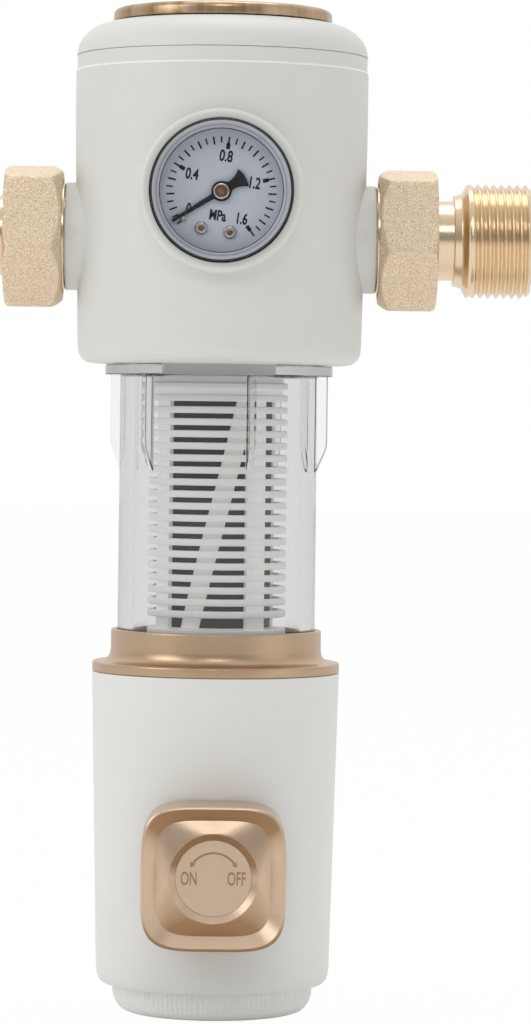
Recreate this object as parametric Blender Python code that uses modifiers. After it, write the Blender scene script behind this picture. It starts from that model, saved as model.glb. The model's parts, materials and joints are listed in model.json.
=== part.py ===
"""Whole-house sediment filter with a gauge, a scraped mesh drum and a drain valve.

Metres, +Z up. The origin is where the pipe axis (X) crosses the filter's vertical axis (Z). The gauge
and the drain knob face -Y. Water enters at -X and leaves at +X. Every piece that moves has its own
origin, or the origin of its parent empty, on the axis that it turns about.
"""

import math

import bmesh
import bpy

# Fits and drawing
GAP = 0.0003
OVERRUN = 0.002
MERGE = 0.00001
WIDE_STEPS = 24
MID_STEPS = 20
THREAD_STEPS = 16
SMALL_STEPS = 12
SCREW_STEPS = 8
ARC_STEPS = 3
FULL_TURN = 2 * math.pi
HALF_SHARE = 0.5
SHARP_ANGLE = math.radians(35)
SEAL_SIDES = 6
SEAL_SWEEP_DEGREES = -360 * (SEAL_SIDES - 1) / SEAL_SIDES

# Head shells and the cap over them
HEAD_RADIUS = 0.0427
HEAD_WALL = 0.003
HEAD_BOTTOM = -0.037
HEAD_BOTTOM_ROUND = 0.005
SEAM_HEIGHT = 0.0505
CAP_ROUND = 0.0135
CAP_LIP_DEPTH = 0.0055
CAP_LIP_WALL = 0.002
CAP_TOP = SEAM_HEIGHT + CAP_ROUND - GAP

# White bosses around the two pipe ports
PORT_RADIUS = 0.0135
SIDE_BOSS_WALL = 0.0019
SIDE_BOSS_RADIUS = PORT_RADIUS + GAP + SIDE_BOSS_WALL
SIDE_BOSS_PROUD = 0.0026
SIDE_BOSS_REACH = HEAD_RADIUS + SIDE_BOSS_PROUD

# Pressure gauge and its white boss
GAUGE_HEIGHT = 0.0116
BEZEL_RADIUS = 0.02005
BEZEL_LAND = 0.0022
BEZEL_DEPTH = 0.0033
BEZEL_SKIRT_DEPTH = 0.004
BEZEL_PROUD = 0.0022
GAUGE_BOSS_WALL = 0.0029
GAUGE_BOSS_PROUD = 0.0043
GAUGE_BOSS_FRONT = HEAD_RADIUS + GAUGE_BOSS_PROUD
GAUGE_BOSS_DEPTH = 0.016
GAUGE_BOSS_ROUND = 0.0018
CASE_WALL = 0.0007
CASE_DEPTH = 0.0185
LENS_THICKNESS = 0.0015
DIAL_THICKNESS = 0.0005
DIAL_DEPTH = 0.0042
NEEDLE_LENGTH = 0.0158
NEEDLE_TAIL = 0.0077
NEEDLE_ROOT_WIDTH = 0.0016
NEEDLE_TIP_WIDTH = 0.0005
NEEDLE_AXE_WIDTH = 0.0058
NEEDLE_THICKNESS = 0.0004
NEEDLE_LIFT = 0.0008
NEEDLE_BOSS_CORNER_SHARE = 0.7
NEEDLE_TAIL_WAIST_SHARE = 0.4
NEEDLE_AXE_START_SHARE = 0.68
NEEDLE_AXE_WIDEST_SHARE = 0.82
NEEDLE_AXE_NECK_SHARE = 0.3
NEEDLE_AXE_END_SHARE = 0.25
NEEDLE_CAP_EDGE_SHARE = 0.8
NEEDLE_REST_TURN = math.radians(-128)
DIAL_TURN = math.radians(8)
NEEDLE_BOSS_RADIUS = 0.0029
NEEDLE_CAP_RADIUS = 0.00245
NEEDLE_CAP_HEIGHT = 0.0009
NEEDLE_SHAFT_RADIUS = 0.0005
DIAL_SCREW_RADIUS = 0.0018
DIAL_SCREW_HEIGHT = 0.0007
DIAL_SCREW_SHANK = 0.0007
DIAL_SCREW_DROP = 0.0111
DIAL_SCREW_SPREAD = 0.0041
STOP_PIN_RADIUS = 0.0004
STOP_PIN_OUT = 0.0133
MOVEMENT_RADIUS = 0.0062
MOVEMENT_THICKNESS = 0.0035
TUBE_TURN_RADIUS = 0.0118
TUBE_RADIUS = 0.0014
TUBE_SWEEP = math.radians(250)
STEM_RADIUS = 0.0047
STEM_FLANGE_RADIUS = 0.0068
STEM_FLANGE_THICKNESS = 0.0024
STEM_BORE = 0.0014
STEM_DEPTH = 0.006

# Screws that hold the two shells together
SHELL_SCREW_SPREAD = 0.031
SHELL_SCREW_HEIGHTS = (0.022, 0.040)
SHELL_SCREW_SHANK = 0.0014
SHELL_SCREW_HEAD = 0.0028
SHELL_SCREW_HEAD_HEIGHT = 0.0022
SHELL_SCREW_LENGTH = 0.019
SHELL_SCREW_SEAT = 0.010
SHELL_SCREW_WALL = 0.0018

# Brass manifold inside the head
BELL_RADIUS = 0.035
BELL_RIM_HEIGHT = 0.003
CEILING_DROP = 0.0165
CEILING_THICKNESS = 0.0045
NECK_RADIUS = 0.020
NECK_TOP = 0.020
TOWER_RADIUS = 0.012
TOWER_TOP = 0.036
RISER_RADIUS = 0.0125
RISER_WALL = 0.0025
RISER_TOP = 0.015
RISER_DROP = 0.003
RISER_END = HEAD_BOTTOM - RISER_DROP
BORE_RADIUS = 0.0095
INLET_WALL = 0.0035
DOWN_BORE_RADIUS = 0.0042
PORT_FLANGE_RADIUS = 0.0155
PORT_FLANGE_THICKNESS = 0.0009
THREAD_RADIUS = 0.016625
PORT_END = 0.0545
GLAND_POCKET_RADIUS = 0.0073
GLAND_POCKET_DEPTH = 0.008
GLAND_HEX_RADIUS = 0.0098
GLAND_HEX_HEIGHT = 0.003
HEX_SIDES = 6

# Spindle and the gold wheel on top
SPINDLE_RADIUS = 0.004
WHEEL_RADIUS = 0.0319
WHEEL_THICKNESS = 0.0025
WHEEL_CHAMFER = 0.0004
WHEEL_HUB_RADIUS = 0.0063
WHEEL_HUB_DEPTH = 0.0062
WHEEL_SCREW_HEAD = 0.0032
WHEEL_SCREW_HEAD_HEIGHT = 0.0010
WHEEL_SCREW_SHANK = 0.0015
WHEEL_SCREW_LENGTH = 0.010
WHEEL_WEB = 0.0008

# Union nuts, tails and gaskets
NUT_FLAT_RADIUS = 0.0192
NUT_LENGTH = 0.0178
NUT_CHAMFER = 0.0022
NUT_CHAMFER_DROP = 0.0012
NUT_LIP = 0.0039
NUT_CORNER_ELEVATION = math.radians(49)
NUT_START = SIDE_BOSS_REACH + GAP + PORT_FLANGE_THICKNESS + GAP
NUT_END = NUT_START + NUT_LENGTH
GASKET_THICKNESS = 0.0015
TAIL_TUBE_RADIUS = 0.0116
TAIL_NECK_LENGTH = 0.0045
TAIL_COLLAR_START = NUT_END + TAIL_NECK_LENGTH
TAIL_COLLAR_LENGTH = 0.0038
TAIL_COLLAR_RADIUS = 0.0132
TAIL_FLANGE_INSET = 0.0014
TAIL_THREAD_TURNS = 8
TAIL_THREAD_PITCH = 0.002309
THREAD_DEPTH = 0.00148
TAIL_CHAMFER = 0.0016

# Clear bowl
BOWL_NECK_RADIUS = 0.031
BOWL_RADIUS = 0.0289
BOWL_WALL = 0.0042
BOWL_FLANGE_RADIUS = 0.0333
BOWL_FLANGE_THICKNESS = 0.003
BOWL_VISIBLE_HEIGHT = 0.0742
BOWL_SEAL_SECTION_SHARE = 0.206
BOWL_FIN_COUNT = 6
BOWL_FIN_FIRST_TURN = math.radians(18)
BOWL_FIN_RADIUS = 0.0324
BOWL_FIN_LENGTH = 0.0205
BOWL_FIN_TAPER = 0.0072
BOWL_FIN_THICKNESS = 0.002
BOWL_FLOOR_CHAMFER = 0.0045
BOWL_FLOOR_THICKNESS = 0.005
BOWL_OUTLET_RADIUS = 0.012
BOWL_OUTLET_BORE = 0.008
BOWL_OUTLET_LENGTH = 0.012

# Filter element
CAGE_RADIUS = 0.0203
CAGE_WALL = 0.0010
CAGE_RING_WIDTH = 0.0018
CAGE_RING_COUNT = 21
CAGE_RING_PITCH = 0.0035
CAGE_RING_THICKNESS = 0.0018
CAGE_SLEEVE_HEIGHT = 0.010
CAGE_SLEEVE_WALL = 0.0014
CAGE_FLOOR_THICKNESS = 0.0022
CAGE_WINDOW_COUNT = 4
CAGE_POST_WIDTH = 0.0062
CAGE_POST_FIRST_TURN = math.radians(35)
CAGE_BLIND_RINGS = 3
DRUM_RADIUS = 0.0149
DRUM_WALL = 0.0020
DRUM_COLLAR_HEIGHT = 0.009
DRUM_FLANGE_THICKNESS = 0.003
DRUM_POST_WIDTH = 0.005
DRUM_HUB_RADIUS = 0.0068
DRUM_ARM_WIDTH = 0.0026
DRUM_PIVOT_RADIUS = 0.004
BUSH_WALL = 0.0009
MESH_WALL = 0.0005
WIPER_THICKNESS = 0.0011
WIPER_WIDTH = 0.0062
WIPER_TOP_TURN = math.radians(24)
WIPER_BOTTOM_TURN = math.radians(-38)
WIPER_SECTIONS = 12

# Gold ring, lower housing and ribbed cap
RING_COLLAR_RADIUS = 0.0308
RING_COLLAR_HEIGHT = 0.0071
RING_FLARE_HEIGHT = 0.0018
RING_RIM_HEIGHT = 0.0034
HOUSING_TOP_RADIUS = 0.0362
HOUSING_BOTTOM_RADIUS = 0.0338
HOUSING_HEIGHT = 0.0909
HOUSING_WALL = 0.003
HOUSING_ROUND = 0.0038
HOUSING_WEB_THICKNESS = 0.003
FOOT_RADIUS = 0.0301
FOOT_HEIGHT = 0.0082
FOOT_BAND_HEIGHT = 0.0046
FOOT_ROUND = 0.0030
FOOT_RIB_COUNT = 24
FOOT_RIB_DEPTH = 0.0004
FOOT_SKIRT_RADIUS = 0.0288
FOOT_SKIRT_HEIGHT = 0.010
FOOT_WALL = 0.0022

# Drain valve
VALVE_DROP = 0.0549
VALVE_FLANGE_RADIUS = 0.018
VALVE_FLANGE_THICKNESS = 0.004
VALVE_RADIUS = 0.0145
BALL_RADIUS = 0.009
BALL_BORE = 0.005
BALL_SLOT_DEPTH = 0.0022
TONGUE_WIDTH = 0.0026
TONGUE_LENGTH = 0.0062
SEAT_STAND_OFF = 0.0073
SEAT_THICKNESS = 0.0025
SEAT_BORE = 0.0056
CHAMBER_WALL = 0.0022
DRAIN_BORE = 0.0055
VALVE_TAIL_PLUG = 0.006
VALVE_TAIL_FLANGE = 0.0025
NOZZLE_RADIUS = 0.008
STEM_BOSS_RADIUS = 0.008
STEM_BOSS_CLEARANCE = 0.0019
VALVE_STEM_RADIUS = 0.0038
VALVE_GLAND_POCKET = 0.0062
VALVE_GLAND_DEPTH = 0.007
VALVE_GLAND_HEAD = 0.0028

# Drain knob
KNOB_HALF_SIZE = 0.02025
KNOB_STAND_OFF = 0.0008
KNOB_DEPTH = 0.0182
KNOB_EDGE_ROUND = 0.0012
KNOB_VALLEY_SHARE = 0.80
KNOB_VALLEY_DEPTH = 0.0021
KNOB_RIDGE_RADIUS = 0.0129
KNOB_RIDGE_DROP = 0.0006
KNOB_FACE_RADIUS = 0.0107
KNOB_FACE_DEPTH = 0.0016
KNOB_FACE_THICKNESS = 0.0012
KNOB_POINTS = 32
KNOB_SQUARENESS = 4.4
KNOB_WALL = 0.0026
KNOB_POCKET_DEPTH = 0.009
KNOB_HUB_RADIUS = 0.0075
KNOB_GRIP_DEPTH = 0.010
KNOB_SCREW_SHANK = 0.0015
KNOB_SCREW_HEAD = 0.0029
KNOB_SCREW_HEAD_HEIGHT = 0.0016
KNOB_SCREW_LENGTH = 0.0085

# Heights that follow from the sizes above
HEAD_INNER_RADIUS = HEAD_RADIUS - HEAD_WALL
BELL_RIM_RADIUS = HEAD_INNER_RADIUS - GAP
BELL_END = HEAD_BOTTOM + HEAD_WALL + GAP
BELL_BORE = BOWL_NECK_RADIUS + GAP
CEILING = -CEILING_DROP
RISER_OUTER_RADIUS = RISER_RADIUS + RISER_WALL
SPINDLE_BORE = SPINDLE_RADIUS + GAP
POCKET_FLOOR = TOWER_TOP - GLAND_POCKET_DEPTH
WHEEL_BOTTOM = CAP_TOP + GAP
WHEEL_TOP = WHEEL_BOTTOM + WHEEL_THICKNESS
BOWL_BORE = BOWL_RADIUS - BOWL_WALL
BOWL_SEAL_RADIUS = (BOWL_NECK_RADIUS - BOWL_BORE) * BOWL_SEAL_SECTION_SHARE
BOWL_TOP = CEILING - 2 * (BOWL_SEAL_RADIUS + GAP)
FLANGE_TOP = HEAD_BOTTOM - GAP
FLANGE_BOTTOM = FLANGE_TOP - BOWL_FLANGE_THICKNESS
RING_TOP = FLANGE_BOTTOM - BOWL_VISIBLE_HEIGHT
RING_BOTTOM = RING_TOP - RING_COLLAR_HEIGHT - RING_FLARE_HEIGHT - RING_RIM_HEIGHT
HOUSING_TOP = RING_BOTTOM - GAP
HOUSING_BOTTOM = HOUSING_TOP - HOUSING_HEIGHT
WEB_TOP = RING_BOTTOM - BOWL_FLOOR_CHAMFER - HOUSING_WEB_THICKNESS
WEB_BOTTOM = WEB_TOP - HOUSING_WEB_THICKNESS
BOWL_BOTTOM = WEB_TOP + GAP
BOWL_OUTLET_END = BOWL_BOTTOM - BOWL_OUTLET_LENGTH
CAGE_TOP = RISER_END - GAP
BUSH_RADIUS = DRUM_PIVOT_RADIUS + GAP + BUSH_WALL
CAGE_INNER_RADIUS = CAGE_RADIUS - 2 * CAGE_WALL - GAP
CAGE_DRUM_RADIUS = CAGE_INNER_RADIUS + CAGE_WALL
CAGE_FLOOR = CAGE_TOP - CAGE_RING_COUNT * CAGE_RING_PITCH
MESH_INNER_RADIUS = DRUM_RADIUS + GAP
MESH_RADIUS = MESH_INNER_RADIUS + MESH_WALL
DRUM_BOTTOM = CAGE_FLOOR + GAP
FOOT_TOP = HOUSING_BOTTOM - GAP
FOOT_BOTTOM = FOOT_TOP - FOOT_HEIGHT
VALVE_HEIGHT = HOUSING_TOP - VALVE_DROP
VALVE_TOP = WEB_BOTTOM - GAP
CHAMBER_RADIUS = BALL_RADIUS + CHAMBER_WALL * HALF_SHARE
CHAMBER_REACH = SEAT_STAND_OFF + SEAT_THICKNESS + GAP
TAIL_END = TAIL_COLLAR_START + TAIL_COLLAR_LENGTH + TAIL_THREAD_TURNS * TAIL_THREAD_PITCH
KNOB_TAPER = (HOUSING_TOP_RADIUS - HOUSING_BOTTOM_RADIUS) * (VALVE_DROP - KNOB_HALF_SIZE) / HOUSING_HEIGHT
KNOB_BACK = HOUSING_TOP_RADIUS - KNOB_TAPER + KNOB_STAND_OFF
VALVE_TAPER = (HOUSING_TOP_RADIUS - HOUSING_BOTTOM_RADIUS) * VALVE_DROP / HOUSING_HEIGHT
STEM_BOSS_REACH = HOUSING_TOP_RADIUS - HOUSING_WALL - VALVE_TAPER - VALVE_GLAND_HEAD - STEM_BOSS_CLEARANCE


def clear_scene():
    for obj in list(bpy.data.objects):
        bpy.data.objects.remove(obj, do_unlink=True)


def new_collection(name):
    made = bpy.data.collections.new(name)
    bpy.context.scene.collection.children.link(made)
    return made


def material(name, colour, roughness, metallic, alpha=1):
    made = bpy.data.materials.new(name)
    made.use_nodes = True
    shader = made.node_tree.nodes["Principled BSDF"]
    shader.inputs["Base Color"].default_value = (*colour, 1)
    shader.inputs["Roughness"].default_value = roughness
    shader.inputs["Metallic"].default_value = metallic
    shader.inputs["Alpha"].default_value = alpha
    return made


def add(name, mesh, finish, place, turn):
    """A new object in the parts, or in the cutters where it has no finish."""
    obj = bpy.data.objects.new(name, mesh)
    obj.location = place
    obj.rotation_euler = turn
    if finish is None:
        CUTTERS.objects.link(obj)
        obj.hide_render = True
        obj.display_type = "WIRE"
    else:
        PARTS.objects.link(obj)
        mesh.materials.append(finish)
    return obj


def turned(name, profile, steps, finish, place=(0, 0, 0), turn=(0, 0, 0)):
    """A profile of (radius, height) points, swept once round the local Z axis."""
    mesh = bpy.data.meshes.new(name)
    closed = min(radius for radius, height in profile) > 0
    count = len(profile)
    edges = [(i, (i + 1) % count) for i in range(count if closed else count - 1)]
    mesh.from_pydata([(radius, 0, height) for radius, height in profile], edges, [])
    obj = add(name, mesh, finish, place, turn)
    screw = obj.modifiers.new("sweep", "SCREW")
    screw.axis = "Z"
    screw.angle = FULL_TURN
    screw.steps = steps
    screw.render_steps = steps
    screw.use_merge_vertices = True
    screw.merge_threshold = MERGE
    return obj


def slab(name, outlines, thickness, finish, place=(0, 0, 0), turn=(0, 0, 0)):
    """Flat outlines of (x, y) points, filled and given a thickness about the local XY plane."""
    curve = bpy.data.curves.new(name, "CURVE")
    curve.dimensions = "2D"
    curve.fill_mode = "BOTH"
    curve.extrude = thickness * HALF_SHARE
    for outline in outlines:
        spline = curve.splines.new("POLY")
        spline.points.add(len(outline) - 1)
        for point, (x, y) in zip(spline.points, outline):
            point.co = (x, y, 0, 1)
        spline.use_cyclic_u = True
    return add(name, mesh_of(name, curve), finish, place, turn)


def mesh_of(name, curve):
    """The closed mesh of a curve, with its caps welded on. The curve is removed."""
    shape = bpy.data.objects.new(name + "_outline", curve)
    bpy.context.scene.collection.objects.link(shape)
    graph = bpy.context.evaluated_depsgraph_get()
    mesh = bpy.data.meshes.new_from_object(shape.evaluated_get(graph))
    bpy.data.objects.remove(shape, do_unlink=True)
    weld(mesh)
    mesh.materials.clear()
    return mesh


def weld(mesh):
    work = bmesh.new()
    work.from_mesh(mesh)
    bmesh.ops.remove_doubles(work, verts=work.verts, dist=MERGE)
    bmesh.ops.recalc_face_normals(work, faces=work.faces)
    work.to_mesh(mesh)
    work.free()


def block(name, low, high, finish=None, turn=(0, 0, 0)):
    """A box between two corners, turned about the origin."""
    work = bmesh.new()
    bmesh.ops.create_cube(work, size=1)
    for vert in work.verts:
        for axis in range(3):
            vert.co[axis] = high[axis] if vert.co[axis] > 0 else low[axis]
    mesh = bpy.data.meshes.new(name)
    work.to_mesh(mesh)
    work.free()
    return add(name, mesh, finish, (0, 0, 0), turn)


def loft(name, sections, finish, place=(0, 0, 0), turn=(0, 0, 0)):
    """A closed skin through sections of equal point counts, capped at both ends."""
    work = bmesh.new()
    rows = [[work.verts.new(point) for point in section] for section in sections]
    for row, following in zip(rows, rows[1:]):
        for i in range(len(row)):
            j = (i + 1) % len(row)
            work.faces.new((row[i], row[j], following[j], following[i]))
    work.faces.new(rows[0])
    work.faces.new(rows[-1])
    bmesh.ops.recalc_face_normals(work, faces=work.faces)
    mesh = bpy.data.meshes.new(name)
    work.to_mesh(mesh)
    work.free()
    return add(name, mesh, finish, place, turn)


def combine(obj, other, operation):
    boolean = obj.modifiers.new(other.name, "BOOLEAN")
    boolean.operation = operation
    boolean.object = other


def join(obj, *others):
    for other in others:
        combine(obj, other, "UNION")


def cut(obj, *others):
    for other in others:
        combine(obj, other, "DIFFERENCE")


def arc(radius, height, size, start, end, steps=ARC_STEPS):
    """Points on a round of this size, from angle start to angle end in degrees, at (radius, height)."""
    points = []
    for i in range(steps + 1):
        angle = math.radians(start + (end - start) * i / steps)
        points.append((radius + size * math.cos(angle), height + size * math.sin(angle)))
    return points


def bar(radius, top, bottom):
    """The profile of a plain round bar."""
    return [(0, top), (radius, top), (radius, bottom), (0, bottom)]


def tube(outer, inner, top, bottom):
    """The profile of a plain round tube."""
    return [(outer, top), (outer, bottom), (inner, bottom), (inner, top)]


def screw_profile(head, head_height, shank, length):
    """A pan head standing on height 0 with its shank below."""
    return [(0, head_height), (head, head_height), (head, 0), (shank, 0), (shank, -length), (0, -length)]


def seal(name, radius, thickness, steps, place=(0, 0, 0), turn=(0, 0, 0)):
    """An O-ring: thickness is the radius of its section."""
    section = arc(radius, 0, thickness, 0, SEAL_SWEEP_DEGREES, SEAL_SIDES - 1)
    return turned(name, section, steps, RUBBER, place, turn)


def squircle(half_size, points=KNOB_POINTS, squareness=KNOB_SQUARENESS):
    """A square with very round corners. Squareness 2 gives a circle."""
    power = 2 / squareness
    outline = []
    for i in range(points):
        angle = FULL_TURN * i / points
        x = math.copysign(abs(math.cos(angle)) ** power, math.cos(angle))
        y = math.copysign(abs(math.sin(angle)) ** power, math.sin(angle))
        outline.append((half_size * x, half_size * y))
    return outline


def facing_front(height):
    """Place and turn of a piece whose local Z points to the front, on the axis at this height."""
    return (0, 0, height), (math.radians(90), 0, 0)


def facing_side(side):
    """Place and turn of a piece whose local Z points along the pipe, to -X or to +X."""
    return (0, 0, 0), (0, math.radians(90) * side, 0)


def shell_outline():
    """The head's wall below the seam, from the seam down the outside and back up the inside."""
    return [
        (HEAD_RADIUS, SEAM_HEIGHT - GAP * HALF_SHARE),
        *arc(HEAD_RADIUS - HEAD_BOTTOM_ROUND, HEAD_BOTTOM + HEAD_BOTTOM_ROUND, HEAD_BOTTOM_ROUND, 0, -90),
        (BELL_BORE, HEAD_BOTTOM),
        (BELL_BORE, HEAD_BOTTOM + HEAD_WALL),
        (HEAD_INNER_RADIUS, HEAD_BOTTOM + HEAD_WALL),
        (HEAD_INNER_RADIUS, SEAM_HEIGHT - GAP * HALF_SHARE),
    ]


def shell(name, side):
    """One half of the head: side is -1 for the front and 1 for the rear."""
    place, turn = facing_front(GAUGE_HEIGHT)
    wall = turned(name, shell_outline(), WIDE_STEPS, WHITE)
    for end in (-1, 1):
        boss_end = bar(SIDE_BOSS_RADIUS, SIDE_BOSS_REACH, HEAD_INNER_RADIUS - HEAD_WALL)
        join(wall, turned(f"{name}_side_boss_{end}", boss_end, MID_STEPS, None, *facing_side(end)))
        for height in SHELL_SCREW_HEIGHTS:
            join(wall, screw_boss(name, side, end * SHELL_SCREW_SPREAD, height))
    if side < 0:
        join(wall, turned(name + "_gauge_boss", gauge_boss_outline(), WIDE_STEPS, None, place, turn))
    for end in (-1, 1):
        hole = bar(PORT_RADIUS + GAP, SIDE_BOSS_REACH + OVERRUN, NECK_RADIUS)
        cut(wall, turned(f"{name}_port_hole_{end}", hole, MID_STEPS, None, *facing_side(end)))
        for height in SHELL_SCREW_HEIGHTS:
            cut(wall, *screw_holes(name, side, end * SHELL_SCREW_SPREAD, height))
    reach = HEAD_RADIUS + SIDE_BOSS_REACH
    ends = sorted((-side * reach, side * GAP * HALF_SHARE))
    cut(wall, block(name + "_other_half", (-reach, ends[0], -reach), (reach, ends[1], reach)))
    if side < 0:
        boss_back = GAUGE_BOSS_FRONT - GAUGE_BOSS_DEPTH
        hole = bar(BEZEL_RADIUS + GAP, GAUGE_BOSS_FRONT + OVERRUN, boss_back - OVERRUN)
        cut(wall, turned(name + "_gauge_hole", hole, WIDE_STEPS, None, place, turn))
    return wall


def gauge_boss_outline():
    radius = BEZEL_RADIUS + GAP + GAUGE_BOSS_WALL
    return [
        (0, GAUGE_BOSS_FRONT),
        *arc(radius - GAUGE_BOSS_ROUND, GAUGE_BOSS_FRONT - GAUGE_BOSS_ROUND, GAUGE_BOSS_ROUND, 90, 0),
        (radius, GAUGE_BOSS_FRONT - GAUGE_BOSS_DEPTH),
        (0, GAUGE_BOSS_FRONT - GAUGE_BOSS_DEPTH),
    ]


def screw_boss(name, side, across, height):
    """A post inside the shell, along Y from the split until its outer edge is within the wall."""
    radius = SHELL_SCREW_HEAD + GAP + SHELL_SCREW_WALL
    reach = math.sqrt(HEAD_RADIUS ** 2 - (abs(across) + radius) ** 2) - GAP
    top, bottom = sorted((0, -side * reach), reverse=True)
    turn = (math.radians(90), 0, 0)
    post = bar(radius, top, bottom)
    return turned(f"{name}_post_{across}_{height}", post, SCREW_STEPS, None, (across, 0, height), turn)


def screw_holes(name, side, across, height):
    """The clearance hole of a shell screw and, in the rear, the recess for its head."""
    turn = (math.radians(90), 0, 0)
    place = (across, 0, height)
    front_end = SHELL_SCREW_LENGTH - SHELL_SCREW_SEAT + GAP + SHELL_SCREW_SHANK
    shank = bar(SHELL_SCREW_SHANK + GAP, front_end, -SHELL_SCREW_SEAT - OVERRUN)
    holes = [turned(f"{name}_shank_{across}_{height}", shank, SCREW_STEPS, None, place, turn)]
    if side > 0:
        head = bar(SHELL_SCREW_HEAD + GAP, -SHELL_SCREW_SEAT + GAP, -HEAD_RADIUS)
        holes.append(turned(f"{name}_recess_{across}_{height}", head, SCREW_STEPS, None, place, turn))
    return holes


def shell_screw(index, across, height):
    profile = screw_profile(SHELL_SCREW_HEAD, SHELL_SCREW_HEAD_HEIGHT, SHELL_SCREW_SHANK, SHELL_SCREW_LENGTH)
    place = (across, SHELL_SCREW_SEAT, height)
    return turned(f"shell_screw_{index}", profile, SCREW_STEPS, STEEL, place, (math.radians(-90), 0, 0))


def head_cap():
    """The dome over the seam, with a lip that plugs into the shells."""
    seat = SEAM_HEIGHT + GAP * HALF_SHARE
    lip = HEAD_INNER_RADIUS - GAP
    hub_hole = WHEEL_HUB_RADIUS + GAP
    centre = HEAD_RADIUS - CAP_ROUND
    inner_round = CAP_ROUND - HEAD_WALL
    base = CAP_TOP - CAP_ROUND
    return turned("head_cap", [
        (hub_hole, CAP_TOP),
        *arc(centre, base, CAP_ROUND, 90, 6),
        (HEAD_RADIUS, seat),
        (lip, seat),
        (lip, SEAM_HEIGHT - CAP_LIP_DEPTH),
        (lip - CAP_LIP_WALL, SEAM_HEIGHT - CAP_LIP_DEPTH),
        (lip - CAP_LIP_WALL, seat),
        *arc(centre, base, inner_round, 30, 90, 3),
        (hub_hole, CAP_TOP - HEAD_WALL),
    ], WIDE_STEPS, WHITE)


def manifold():
    """The casting: bell for the bowl, riser for clean water, tower for the spindle, two ports."""
    body = turned("manifold", [
        (TOWER_RADIUS, TOWER_TOP),
        (TOWER_RADIUS, NECK_TOP),
        (NECK_RADIUS, NECK_TOP),
        (NECK_RADIUS, CEILING + CEILING_THICKNESS),
        (BELL_RADIUS, CEILING + CEILING_THICKNESS),
        (BELL_RADIUS, BELL_END + BELL_RIM_HEIGHT),
        (BELL_RIM_RADIUS, BELL_END + BELL_RIM_HEIGHT),
        (BELL_RIM_RADIUS, BELL_END),
        (BELL_BORE, BELL_END),
        (BELL_BORE, CEILING),
        (RISER_OUTER_RADIUS, CEILING),
        (RISER_OUTER_RADIUS, RISER_END),
        (RISER_RADIUS, RISER_END),
        (RISER_RADIUS, RISER_TOP),
        (SPINDLE_BORE, RISER_TOP + RISER_WALL),
        (SPINDLE_BORE, POCKET_FLOOR),
        (GLAND_POCKET_RADIUS, POCKET_FLOOR),
        (GLAND_POCKET_RADIUS, TOWER_TOP),
    ], WIDE_STEPS, BRASS)
    for side in (-1, 1):
        join(body, turned(f"port_{side}", port_outline(), MID_STEPS, None, *facing_side(side)))
    inlet_bore = bar(BORE_RADIUS, PORT_END + OVERRUN, RISER_RADIUS + INLET_WALL)
    cut(body, turned("inlet_bore", inlet_bore, SMALL_STEPS, None, *facing_side(-1)))
    outlet_bore = bar(BORE_RADIUS, PORT_END + OVERRUN, SPINDLE_BORE)
    cut(body, turned("outlet_bore", outlet_bore, SMALL_STEPS, None, *facing_side(1)))
    down_place = (-RISER_RADIUS - INLET_WALL - DOWN_BORE_RADIUS - GAP, 0, 0)
    down_bore = bar(DOWN_BORE_RADIUS, 0, CEILING - OVERRUN)
    cut(body, turned("down_bore", down_bore, SMALL_STEPS, None, down_place))
    gauge_place, gauge_turn = facing_front(GAUGE_HEIGHT)
    socket = bar(STEM_RADIUS + GAP, NECK_RADIUS + OVERRUN, NECK_RADIUS - STEM_DEPTH)
    cut(body, turned("gauge_socket", socket, SMALL_STEPS, None, gauge_place, gauge_turn))
    sensing = bar(STEM_BORE, NECK_RADIUS, RISER_WALL)
    cut(body, turned("gauge_passage", sensing, SMALL_STEPS, None, gauge_place, gauge_turn))
    return body


def port_outline():
    flange_start = SIDE_BOSS_REACH + GAP
    thread_start = flange_start + PORT_FLANGE_THICKNESS + GAP
    return [
        (0, PORT_END),
        (THREAD_RADIUS - THREAD_DEPTH, PORT_END),
        (THREAD_RADIUS, PORT_END - THREAD_DEPTH),
        (THREAD_RADIUS, thread_start),
        (PORT_FLANGE_RADIUS, thread_start),
        (PORT_FLANGE_RADIUS, flange_start),
        (PORT_RADIUS, flange_start),
        (PORT_RADIUS, RISER_OUTER_RADIUS),
        (0, RISER_OUTER_RADIUS),
    ]


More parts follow.
